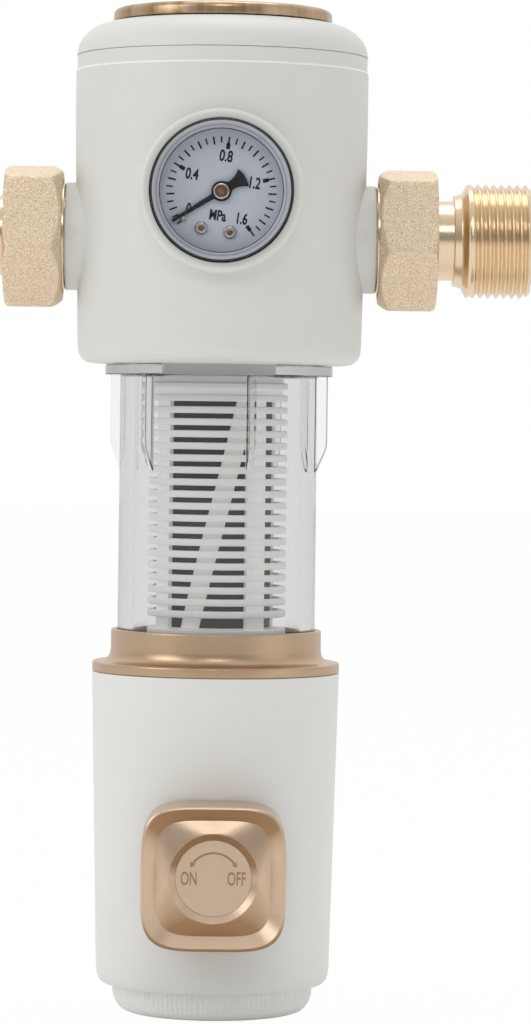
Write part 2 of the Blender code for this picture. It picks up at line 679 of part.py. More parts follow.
def spindle_drive():
    """The gold wheel on top, its screw, the spindle, and the gland and seal in the tower."""
    head_seat = WHEEL_BOTTOM + WHEEL_WEB
    socket_top = WHEEL_BOTTOM - GAP
    turned("top_wheel", [
        (WHEEL_SCREW_HEAD + GAP, WHEEL_TOP),
        (WHEEL_RADIUS - WHEEL_CHAMFER, WHEEL_TOP),
        (WHEEL_RADIUS, WHEEL_TOP - WHEEL_CHAMFER),
        (WHEEL_RADIUS, WHEEL_BOTTOM + WHEEL_CHAMFER),
        (WHEEL_RADIUS - WHEEL_CHAMFER, WHEEL_BOTTOM),
        (WHEEL_HUB_RADIUS, WHEEL_BOTTOM),
        (WHEEL_HUB_RADIUS, WHEEL_BOTTOM - WHEEL_HUB_DEPTH),
        (SPINDLE_BORE, WHEEL_BOTTOM - WHEEL_HUB_DEPTH),
        (SPINDLE_BORE, socket_top),
        (WHEEL_SCREW_SHANK + GAP, socket_top),
        (WHEEL_SCREW_SHANK + GAP, head_seat),
        (WHEEL_SCREW_HEAD + GAP, head_seat),
    ], WIDE_STEPS, GOLD)
    screw = screw_profile(WHEEL_SCREW_HEAD, WHEEL_SCREW_HEAD_HEIGHT, WHEEL_SCREW_SHANK, WHEEL_SCREW_LENGTH)
    turned("wheel_screw", screw, SMALL_STEPS, STEEL, (0, 0, head_seat + GAP))
    spindle_top = socket_top - GAP
    tapped_end = head_seat - WHEEL_SCREW_LENGTH - GAP
    turned("spindle", [
        (0, tapped_end),
        (WHEEL_SCREW_SHANK + GAP, tapped_end),
        (WHEEL_SCREW_SHANK + GAP, spindle_top),
        (SPINDLE_RADIUS, spindle_top),
        (SPINDLE_RADIUS, CAGE_TOP - DRUM_FLANGE_THICKNESS),
        (0, CAGE_TOP - DRUM_FLANGE_THICKNESS),
    ], SMALL_STEPS, STEEL)
    section = (GLAND_POCKET_RADIUS - SPINDLE_RADIUS) * HALF_SHARE - GAP
    middle = (GLAND_POCKET_RADIUS + SPINDLE_RADIUS) * HALF_SHARE
    seal("spindle_seal", middle, section, SMALL_STEPS, (0, 0, POCKET_FLOOR + GAP + section))
    gland = turned("spindle_gland", [
        (SPINDLE_BORE, TOWER_TOP + GAP),
        (GLAND_POCKET_RADIUS - GAP, TOWER_TOP + GAP),
        (GLAND_POCKET_RADIUS - GAP, POCKET_FLOOR + 2 * section + 2 * GAP),
        (SPINDLE_BORE, POCKET_FLOOR + 2 * section + 2 * GAP),
    ], SMALL_STEPS, BRASS)
    hexagon = ring_points(GLAND_HEX_RADIUS, HEX_SIDES)
    hole = ring_points(SPINDLE_BORE, SMALL_STEPS)
    head_middle = TOWER_TOP + GAP + GLAND_HEX_HEIGHT * HALF_SHARE
    join(gland, slab("gland_head", [hexagon, hole], GLAND_HEX_HEIGHT, None, (0, 0, head_middle)))


def ring_points(radius, count, turn=0):
    """Points round a circle in the XY plane."""
    angles = [turn + FULL_TURN * i / count for i in range(count)]
    return [(radius * math.cos(angle), radius * math.sin(angle)) for angle in angles]


def gauge():
    """Case, bezel, lens, dial and works. Distances are in front of the filter's axis."""
    place, turn = facing_front(GAUGE_HEIGHT)
    front = GAUGE_BOSS_FRONT + BEZEL_PROUD
    lens_top = front - BEZEL_DEPTH
    case_radius = BEZEL_RADIUS - CASE_WALL - GAP
    rim = lens_top - LENS_THICKNESS - 2 * GAP
    back = rim - CASE_DEPTH
    dial_top = rim - DIAL_DEPTH
    works_top = dial_top - DIAL_THICKNESS - GAP
    works_bottom = works_top - MOVEMENT_THICKNESS
    turned("gauge_bezel", [
        (BEZEL_RADIUS - BEZEL_LAND, front),
        (BEZEL_RADIUS - CASE_WALL, front),
        (BEZEL_RADIUS, front - CASE_WALL),
        (BEZEL_RADIUS, lens_top - BEZEL_SKIRT_DEPTH),
        (BEZEL_RADIUS - CASE_WALL, lens_top - BEZEL_SKIRT_DEPTH),
        (BEZEL_RADIUS - CASE_WALL, lens_top),
        (BEZEL_RADIUS - BEZEL_LAND, lens_top),
    ], WIDE_STEPS, BLACK, place, turn)
    lens = bar(case_radius, lens_top - GAP, lens_top - GAP - LENS_THICKNESS)
    turned("gauge_lens", lens, MID_STEPS, CLEAR, place, turn)
    turned("gauge_case", [
        (case_radius, rim),
        (case_radius, back),
        (STEM_RADIUS - CASE_WALL, back),
        (STEM_RADIUS - CASE_WALL, back + CASE_WALL),
        (case_radius - CASE_WALL, back + CASE_WALL),
        (case_radius - CASE_WALL, rim),
    ], MID_STEPS, BLACK, place, turn)
    dial = turned("gauge_dial", tube(
        case_radius - CASE_WALL - GAP, NEEDLE_SHAFT_RADIUS + GAP, dial_top, dial_top - DIAL_THICKNESS
    ), MID_STEPS, DIAL, place, turn)
    for side, name in ((-1, "left"), (1, "right")):
        x, y = spin((side * DIAL_SCREW_SPREAD, -DIAL_SCREW_DROP), DIAL_TURN)
        spot = (x, -dial_top - GAP, GAUGE_HEIGHT + y)
        length = DIAL_THICKNESS + 2 * GAP
        profile = screw_profile(DIAL_SCREW_RADIUS, DIAL_SCREW_HEIGHT, DIAL_SCREW_SHANK, length)
        turned(f"dial_screw_{name}", profile, SMALL_STEPS, STEEL, spot, turn)
        hole = bar(DIAL_SCREW_SHANK + GAP, OVERRUN, -OVERRUN)
        cut(dial, turned(f"dial_hole_{name}", hole, SMALL_STEPS, None, spot, turn))
    pin_turn = NEEDLE_REST_TURN - (STOP_PIN_RADIUS + NEEDLE_ROOT_WIDTH * HALF_SHARE + GAP) / STOP_PIN_OUT
    x, y = spin((0, STOP_PIN_OUT), pin_turn)
    pin = bar(STOP_PIN_RADIUS, dial_top + 2 * NEEDLE_LIFT, dial_top - DIAL_THICKNESS * HALF_SHARE)
    join(dial, turned("stop_pin", pin, SMALL_STEPS, None, (x, 0, GAUGE_HEIGHT + y), turn))
    movement = tube(MOVEMENT_RADIUS, NEEDLE_SHAFT_RADIUS + GAP, works_top, works_bottom)
    turned("gauge_movement", movement, SMALL_STEPS, BRASS, place, turn)
    neck_face = NECK_RADIUS + GAP
    flange_back = back - GAP - STEM_FLANGE_THICKNESS
    turned("gauge_stem", [
        (STEM_BORE, works_bottom - GAP),
        (STEM_RADIUS - CASE_WALL - GAP, works_bottom - GAP),
        (STEM_RADIUS - CASE_WALL - GAP, back - GAP),
        (STEM_FLANGE_RADIUS, back - GAP),
        (STEM_FLANGE_RADIUS, flange_back),
        (STEM_RADIUS, flange_back),
        (STEM_RADIUS, NECK_RADIUS - STEM_DEPTH + GAP),
        (STEM_BORE, NECK_RADIUS - STEM_DEPTH + GAP),
    ], SMALL_STEPS, BRASS, place, turn)
    section = (flange_back - neck_face - GAP) * HALF_SHARE
    seal_place = (0, -neck_face - section, GAUGE_HEIGHT)
    seal("gauge_seal", STEM_RADIUS + GAP + section, section, SMALL_STEPS, seal_place, turn)
    bourdon_tube(-(works_bottom - TUBE_RADIUS - GAP))
    needle(dial_top, works_bottom)


def bourdon_tube(depth):
    """The C-shaped pressure tube, from the stem round to its free end."""
    points = [(0, -(STEM_RADIUS - CASE_WALL + TUBE_RADIUS))]
    for i in range(SMALL_STEPS + 1):
        angle = math.radians(-90) - TUBE_SWEEP * i / SMALL_STEPS
        points.append((TUBE_TURN_RADIUS * math.cos(angle), TUBE_TURN_RADIUS * math.sin(angle)))
    curve = bpy.data.curves.new("bourdon_tube", "CURVE")
    curve.dimensions = "3D"
    curve.bevel_depth = TUBE_RADIUS
    curve.bevel_resolution = 1
    curve.use_fill_caps = True
    spline = curve.splines.new("POLY")
    spline.points.add(len(points) - 1)
    for point, (x, z) in zip(spline.points, points):
        point.co = (x, depth, GAUGE_HEIGHT + z, 1)
    return add("bourdon_tube", mesh_of("bourdon_tube", curve), BRASS, (0, 0, 0), (0, 0, 0))


def spin(point, turn):
    """A point turned clockwise about the origin, as seen from the front."""
    x, y = point
    return x * math.cos(turn) + y * math.sin(turn), y * math.cos(turn) - x * math.sin(turn)


def needle(dial_top, works_bottom):
    """The pointer with its flared tail, and the brass hub on its shaft."""
    place, turn = facing_front(GAUGE_HEIGHT)
    boss_corner = NEEDLE_BOSS_RADIUS * NEEDLE_BOSS_CORNER_SHARE
    half = [
        (NEEDLE_TIP_WIDTH * HALF_SHARE, NEEDLE_LENGTH),
        (NEEDLE_ROOT_WIDTH * HALF_SHARE, NEEDLE_BOSS_RADIUS),
        (boss_corner, boss_corner),
        (NEEDLE_BOSS_RADIUS, 0),
        (boss_corner, -boss_corner),
        (NEEDLE_ROOT_WIDTH * HALF_SHARE, -NEEDLE_TAIL * NEEDLE_TAIL_WAIST_SHARE),
        (NEEDLE_AXE_WIDTH * NEEDLE_AXE_NECK_SHARE, -NEEDLE_TAIL * NEEDLE_AXE_START_SHARE),
        (NEEDLE_AXE_WIDTH * HALF_SHARE, -NEEDLE_TAIL * NEEDLE_AXE_WIDEST_SHARE),
        (NEEDLE_AXE_WIDTH * NEEDLE_AXE_END_SHARE, -NEEDLE_TAIL),
    ]
    outline = half + [(-x, y) for x, y in reversed(half)]
    pointer = [spin(point, NEEDLE_REST_TURN) for point in outline]
    hole = ring_points(NEEDLE_SHAFT_RADIUS + GAP, SMALL_STEPS)
    underside = dial_top + NEEDLE_LIFT
    middle = underside + NEEDLE_THICKNESS * HALF_SHARE
    slab("gauge_needle", [pointer, hole], NEEDLE_THICKNESS, BLACK, (0, -middle, GAUGE_HEIGHT), turn)
    cap = underside + NEEDLE_THICKNESS + GAP
    turned("needle_hub", [
        (0, cap + NEEDLE_CAP_HEIGHT),
        (NEEDLE_CAP_RADIUS * NEEDLE_CAP_EDGE_SHARE, cap + NEEDLE_CAP_HEIGHT * NEEDLE_CAP_EDGE_SHARE),
        (NEEDLE_CAP_RADIUS, cap),
        (NEEDLE_SHAFT_RADIUS, cap),
        (NEEDLE_SHAFT_RADIUS, works_bottom + GAP),
        (0, works_bottom + GAP),
    ], SMALL_STEPS, BRASS, place, turn)


def union(side, name):
    """One pipe connection: nut, tail with its male thread, and flat gasket."""
    half = NUT_LENGTH * HALF_SHARE
    corner = NUT_FLAT_RADIUS / math.cos(math.pi / HEX_SIDES)
    hexagon = ring_points(corner, HEX_SIDES, -math.radians(90) - side * NUT_CORNER_ELEVATION)
    _, turn = facing_side(side)
    place = (side * (NUT_START + half), 0, 0)
    nut = slab(f"{name}_nut", [hexagon], NUT_LENGTH, BRASS, place, turn)
    chamfer = [
        (0, half + OVERRUN),
        (NUT_FLAT_RADIUS - NUT_CHAMFER_DROP, half + OVERRUN),
        (NUT_FLAT_RADIUS - NUT_CHAMFER_DROP, half),
        (corner + NUT_CHAMFER_DROP, half - NUT_CHAMFER),
        (corner + NUT_CHAMFER_DROP, NUT_CHAMFER - half),
        (NUT_FLAT_RADIUS - NUT_CHAMFER_DROP, -half),
        (NUT_FLAT_RADIUS - NUT_CHAMFER_DROP, -half - OVERRUN),
        (0, -half - OVERRUN),
    ]
    combine(nut, turned(f"{name}_nut_chamfer", chamfer, WIDE_STEPS, None, place, turn), "INTERSECT")
    thread = bar(THREAD_RADIUS + GAP, half - NUT_LIP, -half - OVERRUN)
    passage = bar(TAIL_TUBE_RADIUS + GAP, half + OVERRUN, -half)
    cut(nut, turned(f"{name}_nut_thread", thread, MID_STEPS, None, place, turn))
    cut(nut, turned(f"{name}_nut_passage", passage, MID_STEPS, None, place, turn))
    gasket_top = PORT_END + GAP + GASKET_THICKNESS
    turned(f"{name}_gasket", tube(
        THREAD_RADIUS - GAP, BORE_RADIUS, gasket_top, PORT_END + GAP
    ), MID_STEPS, RUBBER, (0, 0, 0), turn)
    flange_radius = THREAD_RADIUS - TAIL_FLANGE_INSET
    flange_top = NUT_END - NUT_LIP - GAP
    turned(f"{name}_tail", [
        *tail_thread(),
        (TAIL_COLLAR_RADIUS, TAIL_COLLAR_START),
        (TAIL_TUBE_RADIUS, TAIL_COLLAR_START),
        (TAIL_TUBE_RADIUS, flange_top),
        (flange_radius, flange_top),
        (flange_radius, gasket_top + GAP),
        (BORE_RADIUS, gasket_top + GAP),
        (BORE_RADIUS, TAIL_END),
    ], THREAD_STEPS, BRASS, (0, 0, 0), turn)


def tail_thread():
    """Crests and roots of the male thread from the tail's end to its collar."""
    points = [(THREAD_RADIUS - TAIL_CHAMFER, TAIL_END)]
    for i in range(TAIL_THREAD_TURNS):
        crest = TAIL_END - (i + HALF_SHARE) * TAIL_THREAD_PITCH
        points.append((THREAD_RADIUS, crest))
        points.append((THREAD_RADIUS - THREAD_DEPTH, crest - TAIL_THREAD_PITCH * HALF_SHARE))
    points[-1] = (THREAD_RADIUS, TAIL_COLLAR_START + TAIL_COLLAR_LENGTH)
    return points


def bowl():
    """The clear bowl with its grip fins, outlet neck and seal."""
    wall = turned("bowl", [
        (BOWL_BORE, BOWL_TOP),
        (BOWL_NECK_RADIUS, BOWL_TOP),
        (BOWL_NECK_RADIUS, FLANGE_TOP),
        (BOWL_FLANGE_RADIUS, FLANGE_TOP),
        (BOWL_FLANGE_RADIUS, FLANGE_BOTTOM),
        (BOWL_RADIUS, FLANGE_BOTTOM),
        (BOWL_RADIUS, BOWL_BOTTOM + BOWL_FLOOR_CHAMFER),
        (BOWL_RADIUS - BOWL_FLOOR_CHAMFER, BOWL_BOTTOM),
        (BOWL_OUTLET_RADIUS, BOWL_BOTTOM),
        (BOWL_OUTLET_RADIUS, BOWL_OUTLET_END),
        (BOWL_OUTLET_BORE, BOWL_OUTLET_END),
        (BOWL_OUTLET_BORE, BOWL_BOTTOM + BOWL_FLOOR_THICKNESS),
        (BOWL_BORE - BOWL_FLOOR_CHAMFER, BOWL_BOTTOM + BOWL_FLOOR_THICKNESS),
        (BOWL_BORE, BOWL_BOTTOM + BOWL_FLOOR_THICKNESS + BOWL_FLOOR_CHAMFER),
    ], WIDE_STEPS, CLEAR)
    root = BOWL_RADIUS - BOWL_WALL * HALF_SHARE
    fin_top = FLANGE_BOTTOM + BOWL_FLANGE_THICKNESS * HALF_SHARE
    fin_foot = FLANGE_BOTTOM - BOWL_FIN_LENGTH
    fin = [
        (root, fin_top),
        (BOWL_FIN_RADIUS, fin_top),
        (BOWL_FIN_RADIUS, fin_foot),
        (root, fin_foot - BOWL_FIN_TAPER),
    ]
    for i in range(BOWL_FIN_COUNT):
        azimuth = BOWL_FIN_FIRST_TURN - math.radians(90) + FULL_TURN * i / BOWL_FIN_COUNT
        turn = (math.radians(90), 0, azimuth)
        join(wall, slab(f"fin_{i}", [fin], BOWL_FIN_THICKNESS, None, (0, 0, 0), turn))
    middle = (BOWL_NECK_RADIUS + BOWL_BORE) * HALF_SHARE
    seal("bowl_seal", middle, BOWL_SEAL_RADIUS, MID_STEPS, (0, 0, (BOWL_TOP + CEILING) * HALF_SHARE))


def cage():
    """The ringed cage: a sleeve on the riser, a blind top, open rings on posts, and a floor."""
    sleeve_inner = RISER_OUTER_RADIUS + GAP
    sleeve_outer = sleeve_inner + CAGE_SLEEVE_WALL
    blind_end = CAGE_TOP - CAGE_BLIND_RINGS * CAGE_RING_PITCH
    body = turned("cage", [
        (sleeve_outer, CAGE_TOP + CAGE_SLEEVE_HEIGHT),
        (sleeve_outer, CAGE_TOP),
        (CAGE_DRUM_RADIUS, CAGE_TOP),
        (CAGE_DRUM_RADIUS, blind_end),
        (CAGE_INNER_RADIUS, blind_end),
        (CAGE_INNER_RADIUS, CAGE_TOP - CAGE_RING_THICKNESS),
        (sleeve_inner, CAGE_TOP - CAGE_RING_THICKNESS),
        (sleeve_inner, CAGE_TOP + CAGE_SLEEVE_HEIGHT),
    ], MID_STEPS, MILKY)
    floor = turned("cage_floor", tube(
        CAGE_RADIUS, BUSH_RADIUS + GAP, CAGE_FLOOR, CAGE_FLOOR - CAGE_FLOOR_THICKNESS
    ), MID_STEPS, None)
    low = CAGE_INNER_RADIUS - CAGE_WALL * HALF_SHARE
    high = CAGE_DRUM_RADIUS
    half_post = CAGE_POST_WIDTH * HALF_SHARE
    for i in range(CAGE_WINDOW_COUNT):
        turn = CAGE_POST_FIRST_TURN - math.radians(90) + FULL_TURN * i / CAGE_WINDOW_COUNT
        corner_low = (low, -half_post, CAGE_FLOOR - CAGE_FLOOR_THICKNESS * HALF_SHARE)
        corner_high = (high, half_post, CAGE_TOP - CAGE_RING_THICKNESS - GAP)
        join(body, block(f"cage_post_{i}", corner_low, corner_high, None, (0, 0, turn)))
    ring_inner = CAGE_RADIUS - CAGE_RING_WIDTH
    first = CAGE_TOP - CAGE_RING_PITCH + CAGE_RING_THICKNESS * HALF_SHARE
    section = tube(CAGE_RADIUS, ring_inner, first, first - CAGE_RING_THICKNESS)
    ring = turned("cage_rings", section, SMALL_STEPS, None)
    stack = ring.modifiers.new("stack", "ARRAY")
    stack.count = CAGE_RING_COUNT - 1
    stack.use_relative_offset = False
    stack.use_constant_offset = True
    stack.constant_offset_displace = (0, 0, -CAGE_RING_PITCH)
    join(body, floor, ring)
    turned("foot_bush", tube(
        BUSH_RADIUS, DRUM_PIVOT_RADIUS + GAP, CAGE_FLOOR, CAGE_FLOOR - CAGE_FLOOR_THICKNESS
    ), SMALL_STEPS, RUBBER)
    wiper()


def wiper():
    """The slanting blade inside the cage that scrapes the mesh as the drum turns under it."""
    inner = MESH_RADIUS + GAP
    outer = inner + WIPER_THICKNESS
    top = CAGE_TOP - CAGE_RING_THICKNESS - GAP
    bottom = CAGE_FLOOR + GAP
    width = WIPER_WIDTH / inner
    sections = []
    for i in range(WIPER_SECTIONS + 1):
        share = i / WIPER_SECTIONS
        turn = WIPER_TOP_TURN + (WIPER_BOTTOM_TURN - WIPER_TOP_TURN) * share - math.radians(90)
        height = top + (bottom - top) * share
        angles = [turn + width * (step / ARC_STEPS - HALF_SHARE) for step in range(ARC_STEPS + 1)]
        section = [(outer * math.cos(a), outer * math.sin(a), height) for a in angles]
        section += [(inner * math.cos(a), inner * math.sin(a), height) for a in reversed(angles)]
        sections.append(section)
    return loft("wiper", sections, WHITE)


def drum():
    """The turning drum: a frame on the spindle and the steel mesh round it."""
    collar = RISER_RADIUS - GAP
    bore = collar - DRUM_WALL
    flange_bottom = CAGE_TOP - DRUM_FLANGE_THICKNESS
    frame = turned("drum_frame", [
        (collar, CAGE_TOP + DRUM_COLLAR_HEIGHT),
        (collar, CAGE_TOP),
        (DRUM_RADIUS, CAGE_TOP),
        (DRUM_RADIUS, flange_bottom),
        (bore, flange_bottom),
        (bore, CAGE_TOP + DRUM_COLLAR_HEIGHT),
    ], MID_STEPS, MILKY)
    hub = tube(DRUM_HUB_RADIUS, SPINDLE_BORE, CAGE_TOP, flange_bottom)
    join(frame, turned("drum_hub", hub, SMALL_STEPS, None))
    floor_top = DRUM_BOTTOM + DRUM_FLANGE_THICKNESS
    floor = bar(DRUM_RADIUS, floor_top, DRUM_BOTTOM)
    floor[-1:] = [
        (DRUM_PIVOT_RADIUS, DRUM_BOTTOM),
        (DRUM_PIVOT_RADIUS, CAGE_FLOOR - CAGE_FLOOR_THICKNESS),
        (0, CAGE_FLOOR - CAGE_FLOOR_THICKNESS),
    ]
    half_arm = DRUM_ARM_WIDTH * HALF_SHARE
    half_post = DRUM_POST_WIDTH * HALF_SHARE
    rim = math.sqrt(DRUM_RADIUS ** 2 - half_post ** 2) - GAP
    for i in range(CAGE_WINDOW_COUNT):
        turn = (0, 0, FULL_TURN * i / CAGE_WINDOW_COUNT)
        arm_low = (DRUM_HUB_RADIUS - DRUM_WALL, -half_arm, flange_bottom + GAP)
        arm_high = (bore + DRUM_WALL * HALF_SHARE, half_arm, CAGE_TOP - GAP)
        post_low = (rim - DRUM_WALL, -half_post, floor_top - DRUM_WALL)
        post_high = (rim, half_post, flange_bottom + DRUM_WALL)
        join(frame, block(f"drum_arm_{i}", arm_low, arm_high, None, turn))
        join(frame, block(f"drum_post_{i}", post_low, post_high, None, turn))
    join(frame, turned("drum_floor", floor, MID_STEPS, None))
    mesh_top = CAGE_TOP - CAGE_RING_THICKNESS - GAP
    turned("mesh_tube", tube(MESH_RADIUS, MESH_INNER_RADIUS, mesh_top, DRUM_BOTTOM), MID_STEPS, DARK_STEEL)


def lower_shell():
    """The gold ring, the lower housing below it and the ribbed cap at its foot."""
    ring_hole = BOWL_RADIUS + GAP
    flare_top = RING_TOP - RING_COLLAR_HEIGHT
    rim_top = flare_top - RING_FLARE_HEIGHT
    turned("gold_ring", [
        (ring_hole, RING_TOP),
        (RING_COLLAR_RADIUS, RING_TOP),
        (RING_COLLAR_RADIUS, flare_top),
        (HOUSING_TOP_RADIUS, rim_top),
        (HOUSING_TOP_RADIUS, RING_BOTTOM),
        (ring_hole, RING_BOTTOM),
    ], WIDE_STEPS, GOLD)
    inner = HOUSING_TOP_RADIUS - HOUSING_WALL
    foot_hole = FOOT_SKIRT_RADIUS + GAP
    thread_top = HOUSING_BOTTOM + FOOT_SKIRT_HEIGHT + HOUSING_WALL
    web_hole = BOWL_OUTLET_RADIUS + GAP
    edge = HOUSING_BOTTOM + HOUSING_ROUND
    housing = turned("lower_housing", [
        (HOUSING_TOP_RADIUS, HOUSING_TOP),
        *arc(HOUSING_BOTTOM_RADIUS - HOUSING_ROUND, edge, HOUSING_ROUND, 0, -90),
        (foot_hole, HOUSING_BOTTOM),
        (foot_hole, thread_top),
        (HOUSING_BOTTOM_RADIUS - HOUSING_WALL, thread_top + HOUSING_WALL),
        (inner, WEB_BOTTOM),
        (web_hole, WEB_BOTTOM),
        (web_hole, WEB_TOP),
        (inner, WEB_TOP),
        (inner, HOUSING_TOP),
    ], WIDE_STEPS, WHITE)
    place, turn = facing_front(VALVE_HEIGHT)
    hole = bar(VALVE_STEM_RADIUS + 2 * GAP, HOUSING_TOP_RADIUS + OVERRUN, VALVE_RADIUS)
    cut(housing, turned("stem_hole", hole, SMALL_STEPS, None, place, turn))
    root = FOOT_RADIUS - FOOT_RIB_DEPTH
    core = root - GAP
    skirt_inner = FOOT_SKIRT_RADIUS - FOOT_WALL
    skirt_top = FOOT_TOP + FOOT_SKIRT_HEIGHT
    nozzle_hole = NOZZLE_RADIUS + 2 * GAP
    foot = turned("foot_cap", [
        (skirt_inner, skirt_top),
        (FOOT_SKIRT_RADIUS, skirt_top),
        (FOOT_SKIRT_RADIUS, FOOT_TOP),
        (core, FOOT_TOP),
        *arc(core - FOOT_ROUND, FOOT_BOTTOM + FOOT_ROUND, FOOT_ROUND, 0, -90),
        (nozzle_hole, FOOT_BOTTOM),
        (nozzle_hole, FOOT_BOTTOM + FOOT_WALL),
        (skirt_inner, FOOT_BOTTOM + FOOT_WALL),
    ], WIDE_STEPS, WHITE)
    ribs = []
    for i in range(FOOT_RIB_COUNT * 2):
        radius = FOOT_RADIUS if i % 2 else root
        angle = FULL_TURN * i / (FOOT_RIB_COUNT * 2)
        ribs.append((radius * math.cos(angle), radius * math.sin(angle)))
    inside = ring_points(root - FOOT_WALL * HALF_SHARE, WIDE_STEPS)
    band_middle = FOOT_TOP - GAP - FOOT_BAND_HEIGHT * HALF_SHARE
    join(foot, slab("rib_band", [ribs, inside], FOOT_BAND_HEIGHT, None, (0, 0, band_middle)))


def valve():
    """The drain ball valve: body, seats, ball, stem, seal, gland and the tail with its nozzle."""
    body_end = VALVE_HEIGHT - CHAMBER_REACH - VALVE_TAIL_PLUG
    neck_hole = BOWL_OUTLET_RADIUS + GAP
    body = turned("valve_body", [
        (VALVE_FLANGE_RADIUS, VALVE_TOP),
        (VALVE_FLANGE_RADIUS, VALVE_TOP - VALVE_FLANGE_THICKNESS),
        (VALVE_RADIUS, VALVE_TOP - VALVE_FLANGE_THICKNESS),
        (VALVE_RADIUS, body_end),
        (CHAMBER_RADIUS, body_end),
        (CHAMBER_RADIUS, VALVE_HEIGHT + CHAMBER_REACH),
        (DRAIN_BORE, VALVE_HEIGHT + CHAMBER_REACH),
        (DRAIN_BORE, BOWL_OUTLET_END - GAP),
        (neck_hole, BOWL_OUTLET_END - GAP),
        (neck_hole, VALVE_TOP),
    ], MID_STEPS, BRASS)
    place, turn = facing_front(VALVE_HEIGHT)
    stem_bore = VALVE_STEM_RADIUS + GAP
    pocket_floor = STEM_BOSS_REACH - VALVE_GLAND_DEPTH
    join(body, turned("stem_boss", bar(
        STEM_BOSS_RADIUS, STEM_BOSS_REACH, CHAMBER_RADIUS + GAP
    ), SMALL_STEPS, None, place, turn))
    cut(body, turned("stem_passage", [
        (0, STEM_BOSS_REACH + OVERRUN),
        (VALVE_GLAND_POCKET, STEM_BOSS_REACH + OVERRUN),
        (VALVE_GLAND_POCKET, pocket_floor),
        (stem_bore, pocket_floor),
        (stem_bore, BALL_BORE),
        (0, BALL_BORE),
    ], SMALL_STEPS, None, place, turn))
    for side, name in ((1, "upper"), (-1, "lower")):
        faces = sorted((side * SEAT_STAND_OFF, side * (SEAT_STAND_OFF + SEAT_THICKNESS)), reverse=True)
        ring = tube(CHAMBER_RADIUS - GAP, SEAT_BORE, *faces)
        turned(f"{name}_seat", ring, MID_STEPS, SEAT, (0, 0, VALVE_HEIGHT))
    section = (VALVE_GLAND_POCKET - VALVE_STEM_RADIUS) * HALF_SHARE - GAP
    middle = (VALVE_GLAND_POCKET + VALVE_STEM_RADIUS) * HALF_SHARE
    seal_place = (0, -(pocket_floor + GAP + section), VALVE_HEIGHT)
    seal("valve_seal", middle, section, SMALL_STEPS, seal_place, turn)
    turned("valve_gland", [
        (stem_bore, STEM_BOSS_REACH + GAP + VALVE_GLAND_HEAD),
        (STEM_BOSS_RADIUS, STEM_BOSS_REACH + GAP + VALVE_GLAND_HEAD),
        (STEM_BOSS_RADIUS, STEM_BOSS_REACH + GAP),
        (VALVE_GLAND_POCKET - GAP, STEM_BOSS_REACH + GAP),
        (VALVE_GLAND_POCKET - GAP, pocket_floor + 2 * section + 2 * GAP),
        (stem_bore, pocket_floor + 2 * section + 2 * GAP),
    ], SMALL_STEPS, BRASS, place, turn)
    plug_top = VALVE_HEIGHT - CHAMBER_REACH
    turned("valve_tail", [
        (CHAMBER_RADIUS - GAP, plug_top),
        (CHAMBER_RADIUS - GAP, body_end - GAP),
        (VALVE_RADIUS, body_end - GAP),
        (VALVE_RADIUS, body_end - GAP - VALVE_TAIL_FLANGE),
        (NOZZLE_RADIUS, body_end - GAP - VALVE_TAIL_FLANGE),
        (NOZZLE_RADIUS, FOOT_BOTTOM + GAP),
        (DRAIN_BORE, FOOT_BOTTOM + GAP),
        (DRAIN_BORE, plug_top),
    ], MID_STEPS, BRASS)


def ball_and_stem():
    """The ball with its bore across the pipe, closed, and the stem whose tongue turns it."""
    bpy.ops.mesh.primitive_uv_sphere_add(segments=MID_STEPS, ring_count=SMALL_STEPS, radius=BALL_RADIUS)
    shape = bpy.context.object.data
    bpy.data.objects.remove(bpy.context.object, do_unlink=True)
    ball = add("valve_ball", shape, STEEL, (0, 0, VALVE_HEIGHT), (0, 0, 0))
    reach = BALL_RADIUS + OVERRUN
    bore = bar(BALL_BORE, reach, -reach)
    cut(ball, turned("ball_bore", bore, SMALL_STEPS, None, (0, 0, VALVE_HEIGHT), (0, math.radians(90), 0)))
    half_slot = TONGUE_WIDTH * HALF_SHARE + GAP
    slot_floor = BALL_RADIUS - BALL_SLOT_DEPTH
    slot_low = (-half_slot, -reach, VALVE_HEIGHT - reach)
    slot_high = (half_slot, -slot_floor, VALVE_HEIGHT + reach)
    cut(ball, block("ball_slot", slot_low, slot_high))
    place, turn = facing_front(VALVE_HEIGHT)
    shoulder = BALL_RADIUS + GAP
    end = KNOB_BACK + KNOB_GRIP_DEPTH
    tapped = end - KNOB_SCREW_LENGTH
    stem = turned("valve_stem", [
        (0, tapped),
        (KNOB_SCREW_SHANK + GAP, tapped),
        (KNOB_SCREW_SHANK + GAP, end),
        (VALVE_STEM_RADIUS, end),
        (VALVE_STEM_RADIUS, shoulder),
        (0, shoulder),
    ], SMALL_STEPS, STEEL, place, turn)
    half_width = TONGUE_WIDTH * HALF_SHARE
    half_length = TONGUE_LENGTH * HALF_SHARE
    tongue_low = (-half_width, -shoulder - GAP, VALVE_HEIGHT - half_length)
    tongue_high = (half_width, -slot_floor - GAP, VALVE_HEIGHT + half_length)
    join(stem, block("tongue", tongue_low, tongue_high))


